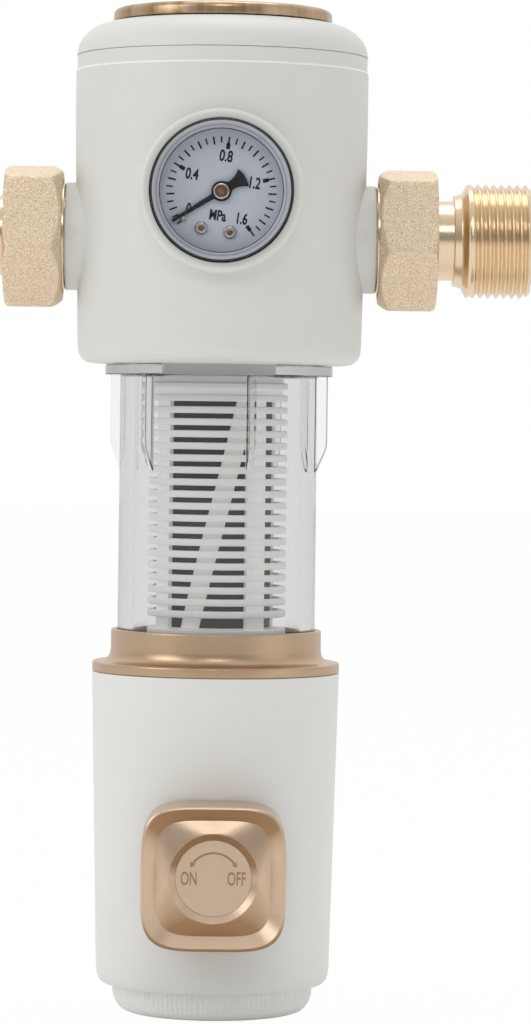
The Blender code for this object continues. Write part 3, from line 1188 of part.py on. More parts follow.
def knob():
    """The square knob: a raised rim, a valley, a round ridge and a sunk face."""
    place, turn = facing_front(VALVE_HEIGHT)
    front = KNOB_BACK + KNOB_DEPTH
    dish = front - KNOB_RIDGE_DROP - KNOB_FACE_DEPTH
    floor = dish - KNOB_FACE_THICKNESS - GAP
    outlines = [
        (KNOB_BACK, squircle(KNOB_HALF_SIZE)),
        (front - KNOB_EDGE_ROUND, squircle(KNOB_HALF_SIZE)),
        (front, squircle(KNOB_HALF_SIZE - KNOB_EDGE_ROUND)),
        (front - KNOB_VALLEY_DEPTH, squircle(KNOB_HALF_SIZE * KNOB_VALLEY_SHARE)),
        (front - KNOB_RIDGE_DROP, squircle(KNOB_RIDGE_RADIUS, squareness=2)),
        (dish, squircle(KNOB_FACE_RADIUS + GAP, squareness=2)),
        (floor, squircle(KNOB_FACE_RADIUS + GAP, squareness=2)),
    ]
    sections = [[(x, y, height) for x, y in outline] for height, outline in outlines]
    body = loft("knob", sections, GOLD, place, turn)
    pocket_top = KNOB_BACK + KNOB_POCKET_DEPTH
    pocket_low = KNOB_BACK - OVERRUN
    pocket_place = (0, -(pocket_top + pocket_low) * HALF_SHARE, VALVE_HEIGHT)
    pocket = [squircle(KNOB_HALF_SIZE - KNOB_WALL), ring_points(KNOB_HUB_RADIUS, MID_STEPS)]
    cut(body, slab("knob_pocket", pocket, pocket_top - pocket_low, None, pocket_place, turn))
    stem_top = KNOB_BACK + KNOB_GRIP_DEPTH + GAP
    cut(body, turned("knob_bore", bar(
        VALVE_STEM_RADIUS + GAP, stem_top, KNOB_BACK - OVERRUN
    ), SMALL_STEPS, None, place, turn))
    cut(body, turned("knob_screw_hole", bar(
        KNOB_SCREW_SHANK + GAP, front, stem_top - GAP
    ), SMALL_STEPS, None, place, turn))
    seat = floor - KNOB_SCREW_HEAD_HEIGHT - GAP
    cut(body, turned("knob_screw_recess", bar(
        KNOB_SCREW_HEAD + GAP, front, seat - GAP
    ), SMALL_STEPS, None, place, turn))
    turned("knob_screw", screw_profile(
        KNOB_SCREW_HEAD, KNOB_SCREW_HEAD_HEIGHT, KNOB_SCREW_SHANK, KNOB_SCREW_LENGTH
    ), SMALL_STEPS, STEEL, (0, -seat, VALVE_HEIGHT), turn)
    face = bar(KNOB_FACE_RADIUS, dish, dish - KNOB_FACE_THICKNESS)
    turned("knob_face", face, WIDE_STEPS, GOLD, place, turn)


def bake():
    """Each part's evaluated mesh takes the place of its modifiers, shaded smooth with sharp edges."""
    graph = bpy.context.evaluated_depsgraph_get()
    baked = {obj: bpy.data.meshes.new_from_object(obj.evaluated_get(graph)) for obj in PARTS.objects}
    for obj, mesh in baked.items():
        obj.modifiers.clear()
        obj.data = mesh
        mesh.shade_smooth()
        mesh.set_sharp_from_angle(angle=SHARP_ANGLE)


def hang(name, place, children):
    """An empty on a joint's axis that carries the pieces which turn together."""
    carrier = bpy.data.objects.new(name, None)
    carrier.location = place
    PARTS.objects.link(carrier)
    bpy.context.view_layer.update()
    for child in children:
        piece = bpy.data.objects[child]
        piece.parent = carrier
        piece.matrix_parent_inverse = carrier.matrix_world.inverted()


clear_scene()
PARTS = new_collection("sediment_filter")
CUTTERS = new_collection("cutters")
WHITE = material("white_plastic", (0.78, 0.78, 0.75), 0.35, 0)
MILKY = material("milky_plastic", (0.82, 0.82, 0.80), 0.4, 0)
GOLD = material("gold_finish", (0.60, 0.40, 0.24), 0.3, 1)
BRASS = material("brass", (0.78, 0.60, 0.36), 0.35, 1)
STEEL = material("steel", (0.62, 0.61, 0.59), 0.3, 1)
DARK_STEEL = material("steel_mesh", (0.09, 0.085, 0.08), 0.45, 1)
CLEAR = material("clear_plastic", (0.95, 0.96, 0.97), 0.05, 0, 0.25)
BLACK = material("black_paint", (0.015, 0.015, 0.016), 0.3, 0)
DIAL = material("dial_print", (0.62, 0.66, 0.72), 0.5, 0)
RUBBER = material("rubber", (0.02, 0.02, 0.02), 0.7, 0)
SEAT = material("valve_seat", (0.9, 0.9, 0.88), 0.5, 0)

shell("front_shell", -1)
shell("rear_shell", 1)
corners = [(x, z) for z in SHELL_SCREW_HEIGHTS for x in (-SHELL_SCREW_SPREAD, SHELL_SCREW_SPREAD)]
for number, (across, height) in enumerate(corners, 1):
    shell_screw(number, across, height)
head_cap()
manifold()
spindle_drive()
gauge()
union(-1, "inlet")
union(1, "outlet")
bowl()
cage()
drum()
lower_shell()
valve()
ball_and_stem()
knob()
bake()
DRUM_PIECES = ("top_wheel", "wheel_screw", "spindle", "drum_frame", "mesh_tube")
KNOB_PIECES = ("knob", "knob_face", "knob_screw", "valve_stem", "valve_ball")
hang("drum_axis", (0, 0, 0), DRUM_PIECES)
hang("needle_axis", (0, -GAUGE_BOSS_FRONT, GAUGE_HEIGHT), ("gauge_needle", "needle_hub"))
hang("knob_axis", (0, -KNOB_BACK, VALVE_HEIGHT), KNOB_PIECES)
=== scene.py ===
"""Looks of the sediment filter: fine meshes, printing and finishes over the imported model.

Metres, +Z up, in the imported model's frame. The pipe axis is X, the front is -Y. A mesh that is turned
about another axis is made about Z and then set by one of the matrices FRONT, SIDE or VALVE.
"""

import json
import math

import bmesh
import bpy
from mathutils import Matrix, Vector


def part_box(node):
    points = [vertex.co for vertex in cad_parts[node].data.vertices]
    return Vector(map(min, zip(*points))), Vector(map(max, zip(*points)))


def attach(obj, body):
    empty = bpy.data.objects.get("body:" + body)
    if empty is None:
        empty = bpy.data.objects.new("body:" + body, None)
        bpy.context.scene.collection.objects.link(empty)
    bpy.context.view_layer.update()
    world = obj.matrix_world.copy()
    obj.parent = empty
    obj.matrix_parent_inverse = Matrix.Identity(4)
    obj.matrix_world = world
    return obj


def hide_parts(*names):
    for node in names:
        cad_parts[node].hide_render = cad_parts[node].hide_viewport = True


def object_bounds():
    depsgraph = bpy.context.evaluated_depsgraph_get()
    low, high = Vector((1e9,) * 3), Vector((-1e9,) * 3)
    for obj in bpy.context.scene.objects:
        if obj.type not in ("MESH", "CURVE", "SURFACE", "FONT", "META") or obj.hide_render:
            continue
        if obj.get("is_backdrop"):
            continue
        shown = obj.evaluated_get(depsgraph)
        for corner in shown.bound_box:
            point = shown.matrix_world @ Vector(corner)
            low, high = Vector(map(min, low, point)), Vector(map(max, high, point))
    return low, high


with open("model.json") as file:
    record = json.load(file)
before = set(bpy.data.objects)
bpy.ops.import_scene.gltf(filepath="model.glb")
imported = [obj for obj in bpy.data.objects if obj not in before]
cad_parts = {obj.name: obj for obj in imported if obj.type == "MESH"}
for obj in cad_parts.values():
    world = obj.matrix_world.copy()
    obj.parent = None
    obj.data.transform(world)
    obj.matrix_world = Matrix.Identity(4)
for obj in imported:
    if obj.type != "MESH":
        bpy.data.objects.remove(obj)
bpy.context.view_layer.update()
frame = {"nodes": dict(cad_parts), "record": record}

# Drawing
FULL = 2 * math.pi
QUARTER = math.pi / 2
WIDE = 144
MEDIUM = 96
SMALL = 48
ROUND_STEPS = 4
BEVEL_STEPS = 2
LETTER_STEPS = 4
CORNER_SHARE = 0.49
CAP_SHARE = 0.69
WELD = 1e-6
SHARP = math.radians(32)
NARROW_GAP = 0.00015
SEAM_GAP = 0.00005

# Corner sizes
FINE = 0.0001
THIN = 0.0002
SLIM = 0.0003
EDGE = 0.0004
ROUND = 0.0006

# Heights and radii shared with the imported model
HEAD_R = 0.0427
HEAD_LOW = -0.037
HEAD_WALL = 0.003
HEAD_LOW_R = 0.0414
TAPER_START = 0.030
SEAM = 0.0527
BAND_LOW = 0.0481
BAND_STEP = 0.00035
CAP_TOP = 0.0624
DOME_RUN = 0.0116
WHEEL_R = 0.0319
WHEEL_LOW = 0.0627
WHEEL_TOP = 0.0665
SIDE_BOSS_R = 0.0157
SIDE_BOSS_END = 0.0453
PORT_R = 0.0138
COLLAR_R = 0.0156
COLLAR_START = 0.0455
COLLAR_END = 0.04655
GAUGE_Z = 0.0116
GAUGE_BOSS_R = 0.02325
GAUGE_HOLE_R = 0.02035
GAUGE_BOSS_FRONT = 0.047
BEZEL_R = 0.02005
BEZEL_FRONT = 0.0492
LENS_TOP = 0.0456
LENS_LOW = 0.0441
DIAL_TOP = 0.0396
VALVE_Z = -0.182

FRONT = Matrix.Translation((0, 0, GAUGE_Z)) @ Matrix.Rotation(QUARTER, 4, "X")
VALVE = Matrix.Translation((0, 0, VALVE_Z)) @ Matrix.Rotation(QUARTER, 4, "X")
SIDE = {side: Matrix.Rotation(side * QUARTER, 4, "Y") for side in (-1, 1)}
UP = Matrix.Identity(4)


# Materials

GRAIN_DEPTH = 0.0002
CLEAR_IOR = 1.49
CLEAR_PASS = (0.95, 0.95, 0.95, 1)
CLEAR_BODY = (0.5, 0.49, 0.48, 1)
CLEAR_DENSITY = 62
# Painted shade: as a normal's Z falls from SHADE_FROM to SHADE_TO, the gold turns towards its darker colour.
SHADE_FROM = -0.02
SHADE_TO = -0.22
LENS_ALPHA = 0.04
WIRE_AROUND = 150
WIRE_ALONG = 9500
WIRE_RELIEF = 0.6
# Painted light: a faint glow for the milky plastic.
MILKY_PAINTED_GLOW = 0.11


def node(tree, kind, **inputs):
    made = tree.nodes.new(kind)
    for name, value in inputs.items():
        made.inputs[name].default_value = value
    return made


def surface(name, colour, second, roughness, metallic=0, scale=400, bump=0.02, bump_scale=3000,
            spread=0.08, stretch=(1, 1, 1), grain="NOISE", range_used=0.5):
    """A finish whose colour and roughness drift slowly, with a fine grain in the bump.

    A small range_used takes only the middle of the noise, which makes the two colours stand apart.
    """
    made = bpy.data.materials.new("look_" + name)
    made.use_nodes = True
    tree = made.node_tree
    shader = tree.nodes["Principled BSDF"]
    shader.inputs["Metallic"].default_value = metallic
    place = tree.nodes.new("ShaderNodeTexCoord")
    mapping = tree.nodes.new("ShaderNodeMapping")
    mapping.inputs["Scale"].default_value = stretch
    tree.links.new(place.outputs["Object"], mapping.inputs["Vector"])
    drift = node(tree, "ShaderNodeTexNoise", Scale=scale, Detail=4)
    tree.links.new(mapping.outputs["Vector"], drift.inputs["Vector"])
    mix = tree.nodes.new("ShaderNodeMix")
    mix.data_type = "RGBA"
    mix.inputs["A"].default_value = (*colour, 1)
    mix.inputs["B"].default_value = (*second, 1)
    apart = node(tree, "ShaderNodeMapRange", **{"From Min": 0.5 - range_used, "From Max": 0.5 + range_used})
    tree.links.new(drift.outputs["Fac"], apart.inputs["Value"])
    tree.links.new(apart.outputs["Result"], mix.inputs["Factor"])
    tree.links.new(mix.outputs["Result"], shader.inputs["Base Color"])
    gloss = node(tree, "ShaderNodeMapRange", **{"To Min": roughness - spread, "To Max": roughness + spread})
    tree.links.new(drift.outputs["Fac"], gloss.inputs["Value"])
    tree.links.new(gloss.outputs["Result"], shader.inputs["Roughness"])
    if grain == "CELLS":
        fine = node(tree, "ShaderNodeTexVoronoi", Scale=bump_scale)
        height = fine.outputs["Distance"]
    else:
        fine = node(tree, "ShaderNodeTexNoise", Scale=bump_scale, Detail=2)
        height = fine.outputs["Fac"]
    tree.links.new(mapping.outputs["Vector"], fine.inputs["Vector"])
    relief = node(tree, "ShaderNodeBump", Strength=bump, Distance=GRAIN_DEPTH)
    tree.links.new(height, relief.inputs["Height"])
    tree.links.new(relief.outputs["Normal"], shader.inputs["Normal"])
    return made


def shader_of(material):
    return material.node_tree.nodes["Principled BSDF"]


def any_ray(tree, first, second):
    """1 for a ray of either kind, else 0."""
    path = tree.nodes.new("ShaderNodeLightPath")
    either = node(tree, "ShaderNodeMath")
    either.operation = "MAXIMUM"
    tree.links.new(path.outputs[first], either.inputs[0])
    tree.links.new(path.outputs[second], either.inputs[1])
    return either.outputs["Value"]


def clear_finish(name, colour, second, roughness):
    """Clear plastic that bends light and lets the lamps through, with faint moulding ripples."""
    made = surface(name, colour, second, roughness, scale=60, bump=0.03, bump_scale=90, spread=roughness / 2)
    tree = made.node_tree
    shader = shader_of(made)
    shader.inputs["Transmission Weight"].default_value = 1
    shader.inputs["IOR"].default_value = CLEAR_IOR
    through = node(tree, "ShaderNodeBsdfTransparent", Color=CLEAR_PASS)
    mix = tree.nodes.new("ShaderNodeMixShader")
    tree.links.new(any_ray(tree, "Is Shadow Ray", "Is Diffuse Ray"), mix.inputs["Fac"])
    tree.links.new(shader.outputs["BSDF"], mix.inputs[1])
    tree.links.new(through.outputs["BSDF"], mix.inputs[2])
    output = tree.nodes["Material Output"]
    tree.links.new(mix.outputs["Shader"], output.inputs["Surface"])
    body = node(tree, "ShaderNodeVolumeAbsorption", Color=CLEAR_BODY, Density=CLEAR_DENSITY)
    tree.links.new(body.outputs["Volume"], output.inputs["Volume"])
    return made


def spun_with_painted_streaks(name, colour, second, roughness):
    """Turned metal, with light and dark streaks painted into the colour that run out from the axis and down
    the rim: painted reflection bands.
    """
    made = surface(name, colour, second, roughness, 1, scale=7, bump=0.1, bump_scale=900, spread=0.05,
                   range_used=0.25)
    tree = made.node_tree
    level = tree.nodes.new("ShaderNodeVectorMath")
    level.operation = "MULTIPLY"
    level.inputs[1].default_value = (1, 1, 0)
    outward = tree.nodes.new("ShaderNodeVectorMath")
    outward.operation = "NORMALIZE"
    tree.links.new(tree.nodes["Texture Coordinate"].outputs["Object"], level.inputs[0])
    tree.links.new(level.outputs["Vector"], outward.inputs[0])
    tree.links.new(outward.outputs["Vector"], tree.nodes["Noise Texture"].inputs["Vector"])
    return made


def gold_with_painted_shade(name, colour, second, painted_shade_colour):
    """Satin gold paint with painted shade: the colour turns darker where the surface faces down."""
    made = surface(name, colour, second, 0.30, 1, scale=300, bump=0.12, bump_scale=7000, spread=0.05)
    tree = made.node_tree
    plain = next(n for n in tree.nodes if n.bl_idname == "ShaderNodeMix")
    facing = tree.nodes.new("ShaderNodeNewGeometry")
    split = tree.nodes.new("ShaderNodeSeparateXYZ")
    tree.links.new(facing.outputs["Normal"], split.inputs["Vector"])
    # Painted shade on the faces that point down.
    down = node(tree, "ShaderNodeMapRange", **{"From Min": SHADE_FROM, "From Max": SHADE_TO})
    tree.links.new(split.outputs["Z"], down.inputs["Value"])
    tone = tree.nodes.new("ShaderNodeMix")
    tone.data_type = "RGBA"
    tone.inputs["B"].default_value = (*painted_shade_colour, 1)
    tree.links.new(down.outputs["Result"], tone.inputs["Factor"])
    tree.links.new(plain.outputs["Result"], tone.inputs["A"])
    tree.links.new(tone.outputs["Result"], shader_of(made).inputs["Base Color"])
    return made


def thin_glass(name):
    """A flat lens: mostly see-through, with a soft shine."""
    made = surface(name, (0.02, 0.02, 0.022), (0.03, 0.03, 0.033), 0.05, scale=80, bump=0.01, spread=0.02)
    shader_of(made).inputs["Alpha"].default_value = LENS_ALPHA
    return made


def woven_finish(name):
    """Dark steel wire cloth: crossing wires in height, and in colour with painted light and shade, the
    raised crossings lighter and the low parts darker.
    """
    made = surface(name, (0.003, 0.003, 0.003), (0.05, 0.047, 0.042), 0.6, metallic=0.2, scale=900, bump=0.2)
    tree = made.node_tree
    shader = shader_of(made)
    place = tree.nodes["Texture Coordinate"]
    split = tree.nodes.new("ShaderNodeSeparateXYZ")
    tree.links.new(place.outputs["Object"], split.inputs["Vector"])
    around = node(tree, "ShaderNodeMath")
    around.operation = "ARCTAN2"
    tree.links.new(split.outputs["Y"], around.inputs[0])
    tree.links.new(split.outputs["X"], around.inputs[1])
    waves = []
    for source, factor in ((around.outputs["Value"], WIRE_AROUND), (split.outputs["Z"], WIRE_ALONG)):
        scaled = node(tree, "ShaderNodeMath")
        scaled.operation = "MULTIPLY"
        scaled.inputs[1].default_value = factor
        tree.links.new(source, scaled.inputs[0])
        wave = node(tree, "ShaderNodeMath")
        wave.operation = "SINE"
        tree.links.new(scaled.outputs["Value"], wave.inputs[0])
        waves.append(wave)
    product = node(tree, "ShaderNodeMath")
    product.operation = "MULTIPLY"
    for i, wave in enumerate(waves):
        tree.links.new(wave.outputs["Value"], product.inputs[i])
    lit = node(tree, "ShaderNodeMapRange", **{"From Min": -1.0})
    tree.links.new(product.outputs["Value"], lit.inputs["Value"])
    # Painted light and shade: the pattern that raises the crossings also lightens them and darkens the low
    # parts.
    mix = next(n for n in tree.nodes if n.bl_idname == "ShaderNodeMix")
    tree.links.new(lit.outputs["Result"], mix.inputs["Factor"])
    relief = tree.nodes["Bump"]
    relief.inputs["Strength"].default_value = WIRE_RELIEF
    tree.links.new(lit.outputs["Result"], relief.inputs["Height"])
    return made


FINISH = {
    "white_plastic": surface("white_plastic", (0.735, 0.735, 0.70), (0.76, 0.76, 0.727), 0.42, scale=90,
                             bump=0.05, bump_scale=2600),
    "milky_plastic": surface("milky_plastic", (0.88, 0.88, 0.865), (0.91, 0.91, 0.895), 0.4, scale=150,
                             bump=0.04),
    "gold_finish": surface("gold_finish", (0.64, 0.45, 0.31), (0.68, 0.49, 0.345), 0.30, 1, scale=300,
                           bump=0.12, bump_scale=7000, spread=0.05),
    "nut_brass": surface("nut_brass", (1, 0.86, 0.66), (0.64, 0.47, 0.31), 0.42, 1, scale=2600, bump=0.8,
                         bump_scale=2300, grain="CELLS", range_used=0.17),
    "brass": surface("brass", (0.88, 0.71, 0.51), (0.80, 0.62, 0.41), 0.2, 1, scale=500, bump=0.1,
                     bump_scale=900, stretch=(8, 1, 1)),
    "steel": surface("steel", (0.66, 0.64, 0.61), (0.55, 0.53, 0.50), 0.25, 1, scale=900, bump=0.05),
    "clear_plastic": clear_finish("clear_plastic", (0.97, 0.97, 0.965), (0.985, 0.985, 0.98), 0.03),
    "black_paint": surface("black_paint", (0.012, 0.012, 0.013), (0.02, 0.02, 0.022), 0.25, scale=600),
    "dial_print": surface("dial_print", (0.66, 0.70, 0.79), (0.69, 0.73, 0.82), 0.5, scale=200, bump=0.02),
    "rubber": surface("rubber", (0.02, 0.02, 0.02), (0.035, 0.034, 0.033), 0.7, scale=1500, bump=0.2),
    "valve_seat": surface("valve_seat", (0.85, 0.85, 0.83), (0.9, 0.9, 0.88), 0.5, scale=500),
    "steel_mesh": woven_finish("steel_mesh"),
}
SLOT_OF = {finish.name: slot for slot, finish in FINISH.items()}
LENS_FINISH = thin_glass("lens_clear")
RIM_FINISH = surface("rim_clear", (0.40, 0.42, 0.46), (0.48, 0.50, 0.54), 0.10, scale=120, bump=0.01,
                     spread=0.04)
INK = surface("dial_ink", (0.006, 0.006, 0.007), (0.012, 0.012, 0.014), 0.5, scale=2500)
# Painted light: the milky plastic glows faintly in place of light scattered through it.
shader_of(FINISH["milky_plastic"]).inputs["Emission Strength"].default_value = MILKY_PAINTED_GLOW
# Painted light: the foot is the white plastic made lighter, in place of light from below.
FOOT_PAINTED_LIGHT = surface("foot_white_painted_light", (0.91, 0.91, 0.88), (0.94, 0.94, 0.91), 0.42, scale=90, bump=0.05,
                      bump_scale=2600)
WORD_FINISH = surface("word_gold", (0.40, 0.26, 0.16), (0.46, 0.31, 0.20), 0.4, 1, scale=900, bump=0.1)
# Painted light: the housing is the same white plastic painted lighter than the head.
HOUSING_PAINTED_LIGHT = surface("housing_white_painted_light", (0.80, 0.80, 0.77), (0.83, 0.83, 0.80), 0.42, scale=90, bump=0.05,
                         bump_scale=2600)
# Painted highlight: the ledge under the band is a brighter white.
BAND_HIGHLIGHT_FINISH = surface("band_painted_highlight", (0.93, 0.93, 0.91), (0.95, 0.95, 0.93), 0.3, scale=90, bump=0.02)
# The wheel's light and dark radial streaks are painted reflection.
WHEEL_FINISH = spun_with_painted_streaks("wheel_gold", (0.34, 0.21, 0.10), (0.68, 0.50, 0.34), 0.27)
# The ring and the knob carry painted shade on their down-facing faces.
RING_FINISH = gold_with_painted_shade("ring_gold", (0.56, 0.40, 0.265), (0.60, 0.435, 0.295), (0.40, 0.26, 0.15))
KNOB_FINISH = gold_with_painted_shade("knob_gold", (0.68, 0.50, 0.36), (0.72, 0.535, 0.39), (0.38, 0.23, 0.12))
HUB_FINISH = surface("hub_bronze", (0.20, 0.115, 0.075), (0.30, 0.18, 0.12), 0.3, 1, scale=1200, bump=0.1)


# Mesh tools

def rounded(corners, closed=True):
    """(radius, height, round) corners become a smooth outline of (radius, height) points."""
    points = []
    count = len(corners)
    for i, (radius, height, size) in enumerate(corners):
        here = Vector((radius, height))
        if size == 0 or (not closed and i in (0, count - 1)):
            points.append((radius, height))
            continue
        before = Vector(corners[i - 1][:2]) - here
        after = Vector(corners[(i + 1) % count][:2]) - here
        start = here + before.normalized() * min(size, before.length * CORNER_SHARE)
        end = here + after.normalized() * min(size, after.length * CORNER_SHARE)
        for step in range(ROUND_STEPS + 1):
            t = step / ROUND_STEPS
            point = start * (1 - t) ** 2 + here * 2 * t * (1 - t) + end * t ** 2
            points.append((point.x, point.y))
    return points


def skin(loops, closed=True, capped=False):
    """A mesh through loops of equal point counts. Closed joins the last loop to the first."""
    work = bmesh.new()
    rows = [[work.verts.new(point) for point in loop] for loop in loops]
    pairs = list(zip(rows, rows[1:]))
    if closed:
        pairs.append((rows[-1], rows[0]))
    for row, following in pairs:
        for i in range(len(row)):
            j = (i + 1) % len(row)
            work.faces.new((row[i], row[j], following[j], following[i]))
    if capped:
        work.faces.new(rows[0])
        work.faces.new(rows[-1])
    return done(work)


def done(work):
    bmesh.ops.remove_doubles(work, verts=work.verts, dist=WELD)
    bmesh.ops.recalc_face_normals(work, faces=work.faces)
    mesh = bpy.data.meshes.new("mesh")
    work.to_mesh(mesh)
    work.free()
    return mesh


def circle(radius, height, steps):
    """A loop round Z. The radius is a number or a function of the angle."""
    points = []
    for i in range(steps):
        angle = FULL * i / steps
        size = radius(angle) if callable(radius) else radius
        points.append((size * math.cos(angle), size * math.sin(angle), height))
    return points


def lathe(corners, steps=WIDE, closed=True):
    """A turned mesh from (radius, height, round) corners."""
    outline = rounded(corners, closed)
    return skin([circle(radius, height, steps) for radius, height in outline], closed)


def disc(radius, low, high, edge=0):
    """Corners of a solid disc between two heights, for an open lathe outline."""
    return [(0, high, 0), (radius, high, edge), (radius, low, 0), (0, low, 0)]


def flat(outlines, thickness, edge=0):
    """A filled outline of (x, y) points with a thickness about Z, and rounded edges."""
    curve = bpy.data.curves.new("outline", "CURVE")
    curve.dimensions = "2D"
    curve.fill_mode = "BOTH"
    curve.extrude = thickness / 2 - edge
    curve.bevel_depth = edge
    curve.bevel_resolution = BEVEL_STEPS
    curve.offset = -edge
    for outline in outlines:
        spline = curve.splines.new("POLY")
        spline.points.add(len(outline) - 1)
        for point, (x, y) in zip(spline.points, outline):
            point.co = (x, y, 0, 1)
        spline.use_cyclic_u = True
    return from_curve(curve)


def from_curve(curve):
    shape = bpy.data.objects.new("outline", curve)
    bpy.context.scene.collection.objects.link(shape)
    mesh = bpy.data.meshes.new_from_object(shape.evaluated_get(bpy.context.evaluated_depsgraph_get()))
    bpy.data.objects.remove(shape, do_unlink=True)
    work = bmesh.new()
    work.from_mesh(mesh)
    return done(work)


def words(text, height, narrow, weight, thickness):
    """Plain lettering, centred on the origin, read along X with Y up."""
    curve = bpy.data.curves.new("letters", "FONT")
    curve.body = text
    curve.size = height / CAP_SHARE
    curve.align_x = "CENTER"
    curve.align_y = "CENTER"
    curve.extrude = thickness / 2
    curve.offset = weight
    curve.resolution_u = LETTER_STEPS
    mesh = from_curve(curve)
    mesh.transform(Matrix.Diagonal((narrow, 1, 1, 1)))
    return mesh


def piece(name, mesh, body, finish, place=UP, replaces=(), slot=None, sharp=SHARP):
    """Adds a finished mesh to the scene, riding on a body."""
    mesh.transform(place)
    mesh.name = name
    mesh.materials.clear()
    mesh.materials.append(finish)
    mesh.shade_smooth()
    mesh.set_sharp_from_angle(angle=sharp)
    obj = bpy.data.objects.new(name, mesh)
    bpy.context.scene.collection.objects.link(obj)
    weigh = obj.modifiers.new("shading", "WEIGHTED_NORMAL")
    weigh.keep_sharp = True
    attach(obj, body)
    if replaces:
        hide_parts(*replaces)
    slot or SLOT_OF[finish.name]
    return obj


def combined(mesh, others, operation):
    """The mesh after a Boolean with each of the others."""
    base = bpy.data.objects.new("base", mesh)
    bpy.context.scene.collection.objects.link(base)
    helpers = []
    for other in others:
        helper = bpy.data.objects.new("helper", other)
        bpy.context.scene.collection.objects.link(helper)
        boolean = base.modifiers.new("boolean", "BOOLEAN")
        boolean.operation = operation
        boolean.object = helper
        helpers.append(helper)
    graph = bpy.context.evaluated_depsgraph_get()
    made = bpy.data.meshes.new_from_object(base.evaluated_get(graph))
    for obj in (base, *helpers):
        bpy.data.objects.remove(obj, do_unlink=True)
    return made


def block(low, high):
    work = bmesh.new()
    bmesh.ops.create_cube(work, size=1)
    for vert in work.verts:
        for axis in range(3):
            vert.co[axis] = high[axis] if vert.co[axis] > 0 else low[axis]
    return done(work)


def joined(meshes):
    """Several meshes as one, without changing any."""
    work = bmesh.new()
    for mesh in meshes:
        work.from_mesh(mesh)
    made = bpy.data.meshes.new("mesh")
    work.to_mesh(made)
    work.free()
    return made


def moved(mesh, matrix):
    mesh.transform(matrix)
    return mesh


def middle(box):
    """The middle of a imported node's box."""
    return [(low + high) / 2 for low, high in zip(*box)]


# Head

MOUTH_R = 0.0315
TAPER_ROUND = 0.008
LOW_ROUND = 0.0052
CUT_BOX = 0.1
CUT_END = 0.06
PORT_CUT = 0.03
GAUGE_CUT = 0.02
RECESS_R = 0.0031
RECESS_START = 0.0095
RECESS_END = 0.05
SHELL_SCREWS = 4
GAUGE_BOSS_START = 0.031
GAUGE_BOSS_ROUND = 0.0024


def head():
    outline = [
        (HEAD_R - BAND_STEP, SEAM - SEAM_GAP, THIN),
        (HEAD_R - BAND_STEP, BAND_LOW + BAND_STEP, 0),
        (HEAD_R, BAND_LOW, EDGE),
        (HEAD_R, TAPER_START, TAPER_ROUND),
        (HEAD_LOW_R, HEAD_LOW, LOW_ROUND),
        (MOUTH_R, HEAD_LOW, EDGE),
        (MOUTH_R, HEAD_LOW + HEAD_WALL, 0),
        (HEAD_LOW_R - HEAD_WALL, HEAD_LOW + HEAD_WALL, 0),
        (HEAD_R - HEAD_WALL, SEAM - SEAM_GAP, 0),
    ]
    port = disc(PORT_R, PORT_CUT, CUT_END)
    gauge_hole = disc(GAUGE_HOLE_R, GAUGE_CUT, CUT_END)
    screw_recess = disc(RECESS_R, RECESS_START, RECESS_END)
    for name, side in (("front", -1), ("rear", 1)):
        ends = sorted((-side * CUT_BOX, side * NARROW_GAP / 2))
        cutters = [block((-CUT_BOX, ends[0], -CUT_BOX), (CUT_BOX, ends[1], CUT_BOX))]
        cutters += [moved(lathe(port, SMALL, False), SIDE[end]) for end in (-1, 1)]
        if side < 0:
            cutters.append(moved(lathe(gauge_hole, MEDIUM, False), FRONT))
        else:
            cutters += [moved(lathe(screw_recess, SMALL, False), place) for place in screw_places()]
        mesh = combined(lathe(outline), cutters, "DIFFERENCE")
        piece(f"head_{name}", mesh, "head", FINISH["white_plastic"], replaces=[f"{name}_shell"])
    dome()
    for name, side in (("inlet", -1), ("outlet", 1)):
        side_boss(name, side)
    piece("gauge_boss", lathe([
        (GAUGE_BOSS_R, GAUGE_BOSS_START, 0),
        (GAUGE_BOSS_R, GAUGE_BOSS_FRONT, GAUGE_BOSS_ROUND),
        (GAUGE_HOLE_R, GAUGE_BOSS_FRONT, SLIM),
        (GAUGE_HOLE_R, GAUGE_BOSS_START, 0),
    ]), "head", FINISH["white_plastic"], FRONT)


def screw_places():
    """Matrices that set a recess on each rear screw, with its height along +Y."""
    for index in range(1, SHELL_SCREWS + 1):
        across, _, up = middle(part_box(f"shell_screw_{index}"))
        yield Matrix.Translation((across, 0, up)) @ Matrix.Rotation(-QUARTER, 4, "X")


DOME_HOLE_R = 0.0066
DOME_INSET = 0.0002
DOME_INNER_ROUND = 0.003
DOME_STEPS = 16
LINE_INSET = 0.00001
LINE_LIP = 0.0001
LINE_RISE = 0.0005


def dome():
    """The cap over the seam, and the small ledge at the lower edge of the band, painted bright as a
    highlight.
    """
    piece("head_dome", lathe([
        (DOME_HOLE_R, CAP_TOP, 0),
        *dome_arc(HEAD_R - DOME_INSET, SEAM + SEAM_GAP, DOME_RUN, CAP_TOP - SEAM - SEAM_GAP),
        (HEAD_R - HEAD_WALL, SEAM + SEAM_GAP, 0),
        (HEAD_R - DOME_RUN, CAP_TOP - HEAD_WALL, DOME_INNER_ROUND),
        (DOME_HOLE_R, CAP_TOP - HEAD_WALL, 0),
    ]), "head", FINISH["white_plastic"], replaces=["head_cap"])
    piece("band_edge", lathe([
        (HEAD_R - BAND_STEP * 2, BAND_LOW + LINE_RISE, 0),
        (HEAD_R - BAND_STEP + LINE_LIP, BAND_LOW + LINE_RISE, FINE),
        (HEAD_R - LINE_INSET, BAND_LOW + LINE_LIP, FINE),
        (HEAD_R - LINE_INSET, BAND_LOW - LINE_LIP, 0),
        (HEAD_R - BAND_STEP * 2, BAND_LOW - LINE_LIP, 0),
    ]), "head", BAND_HIGHLIGHT_FINISH, slot="white_plastic")


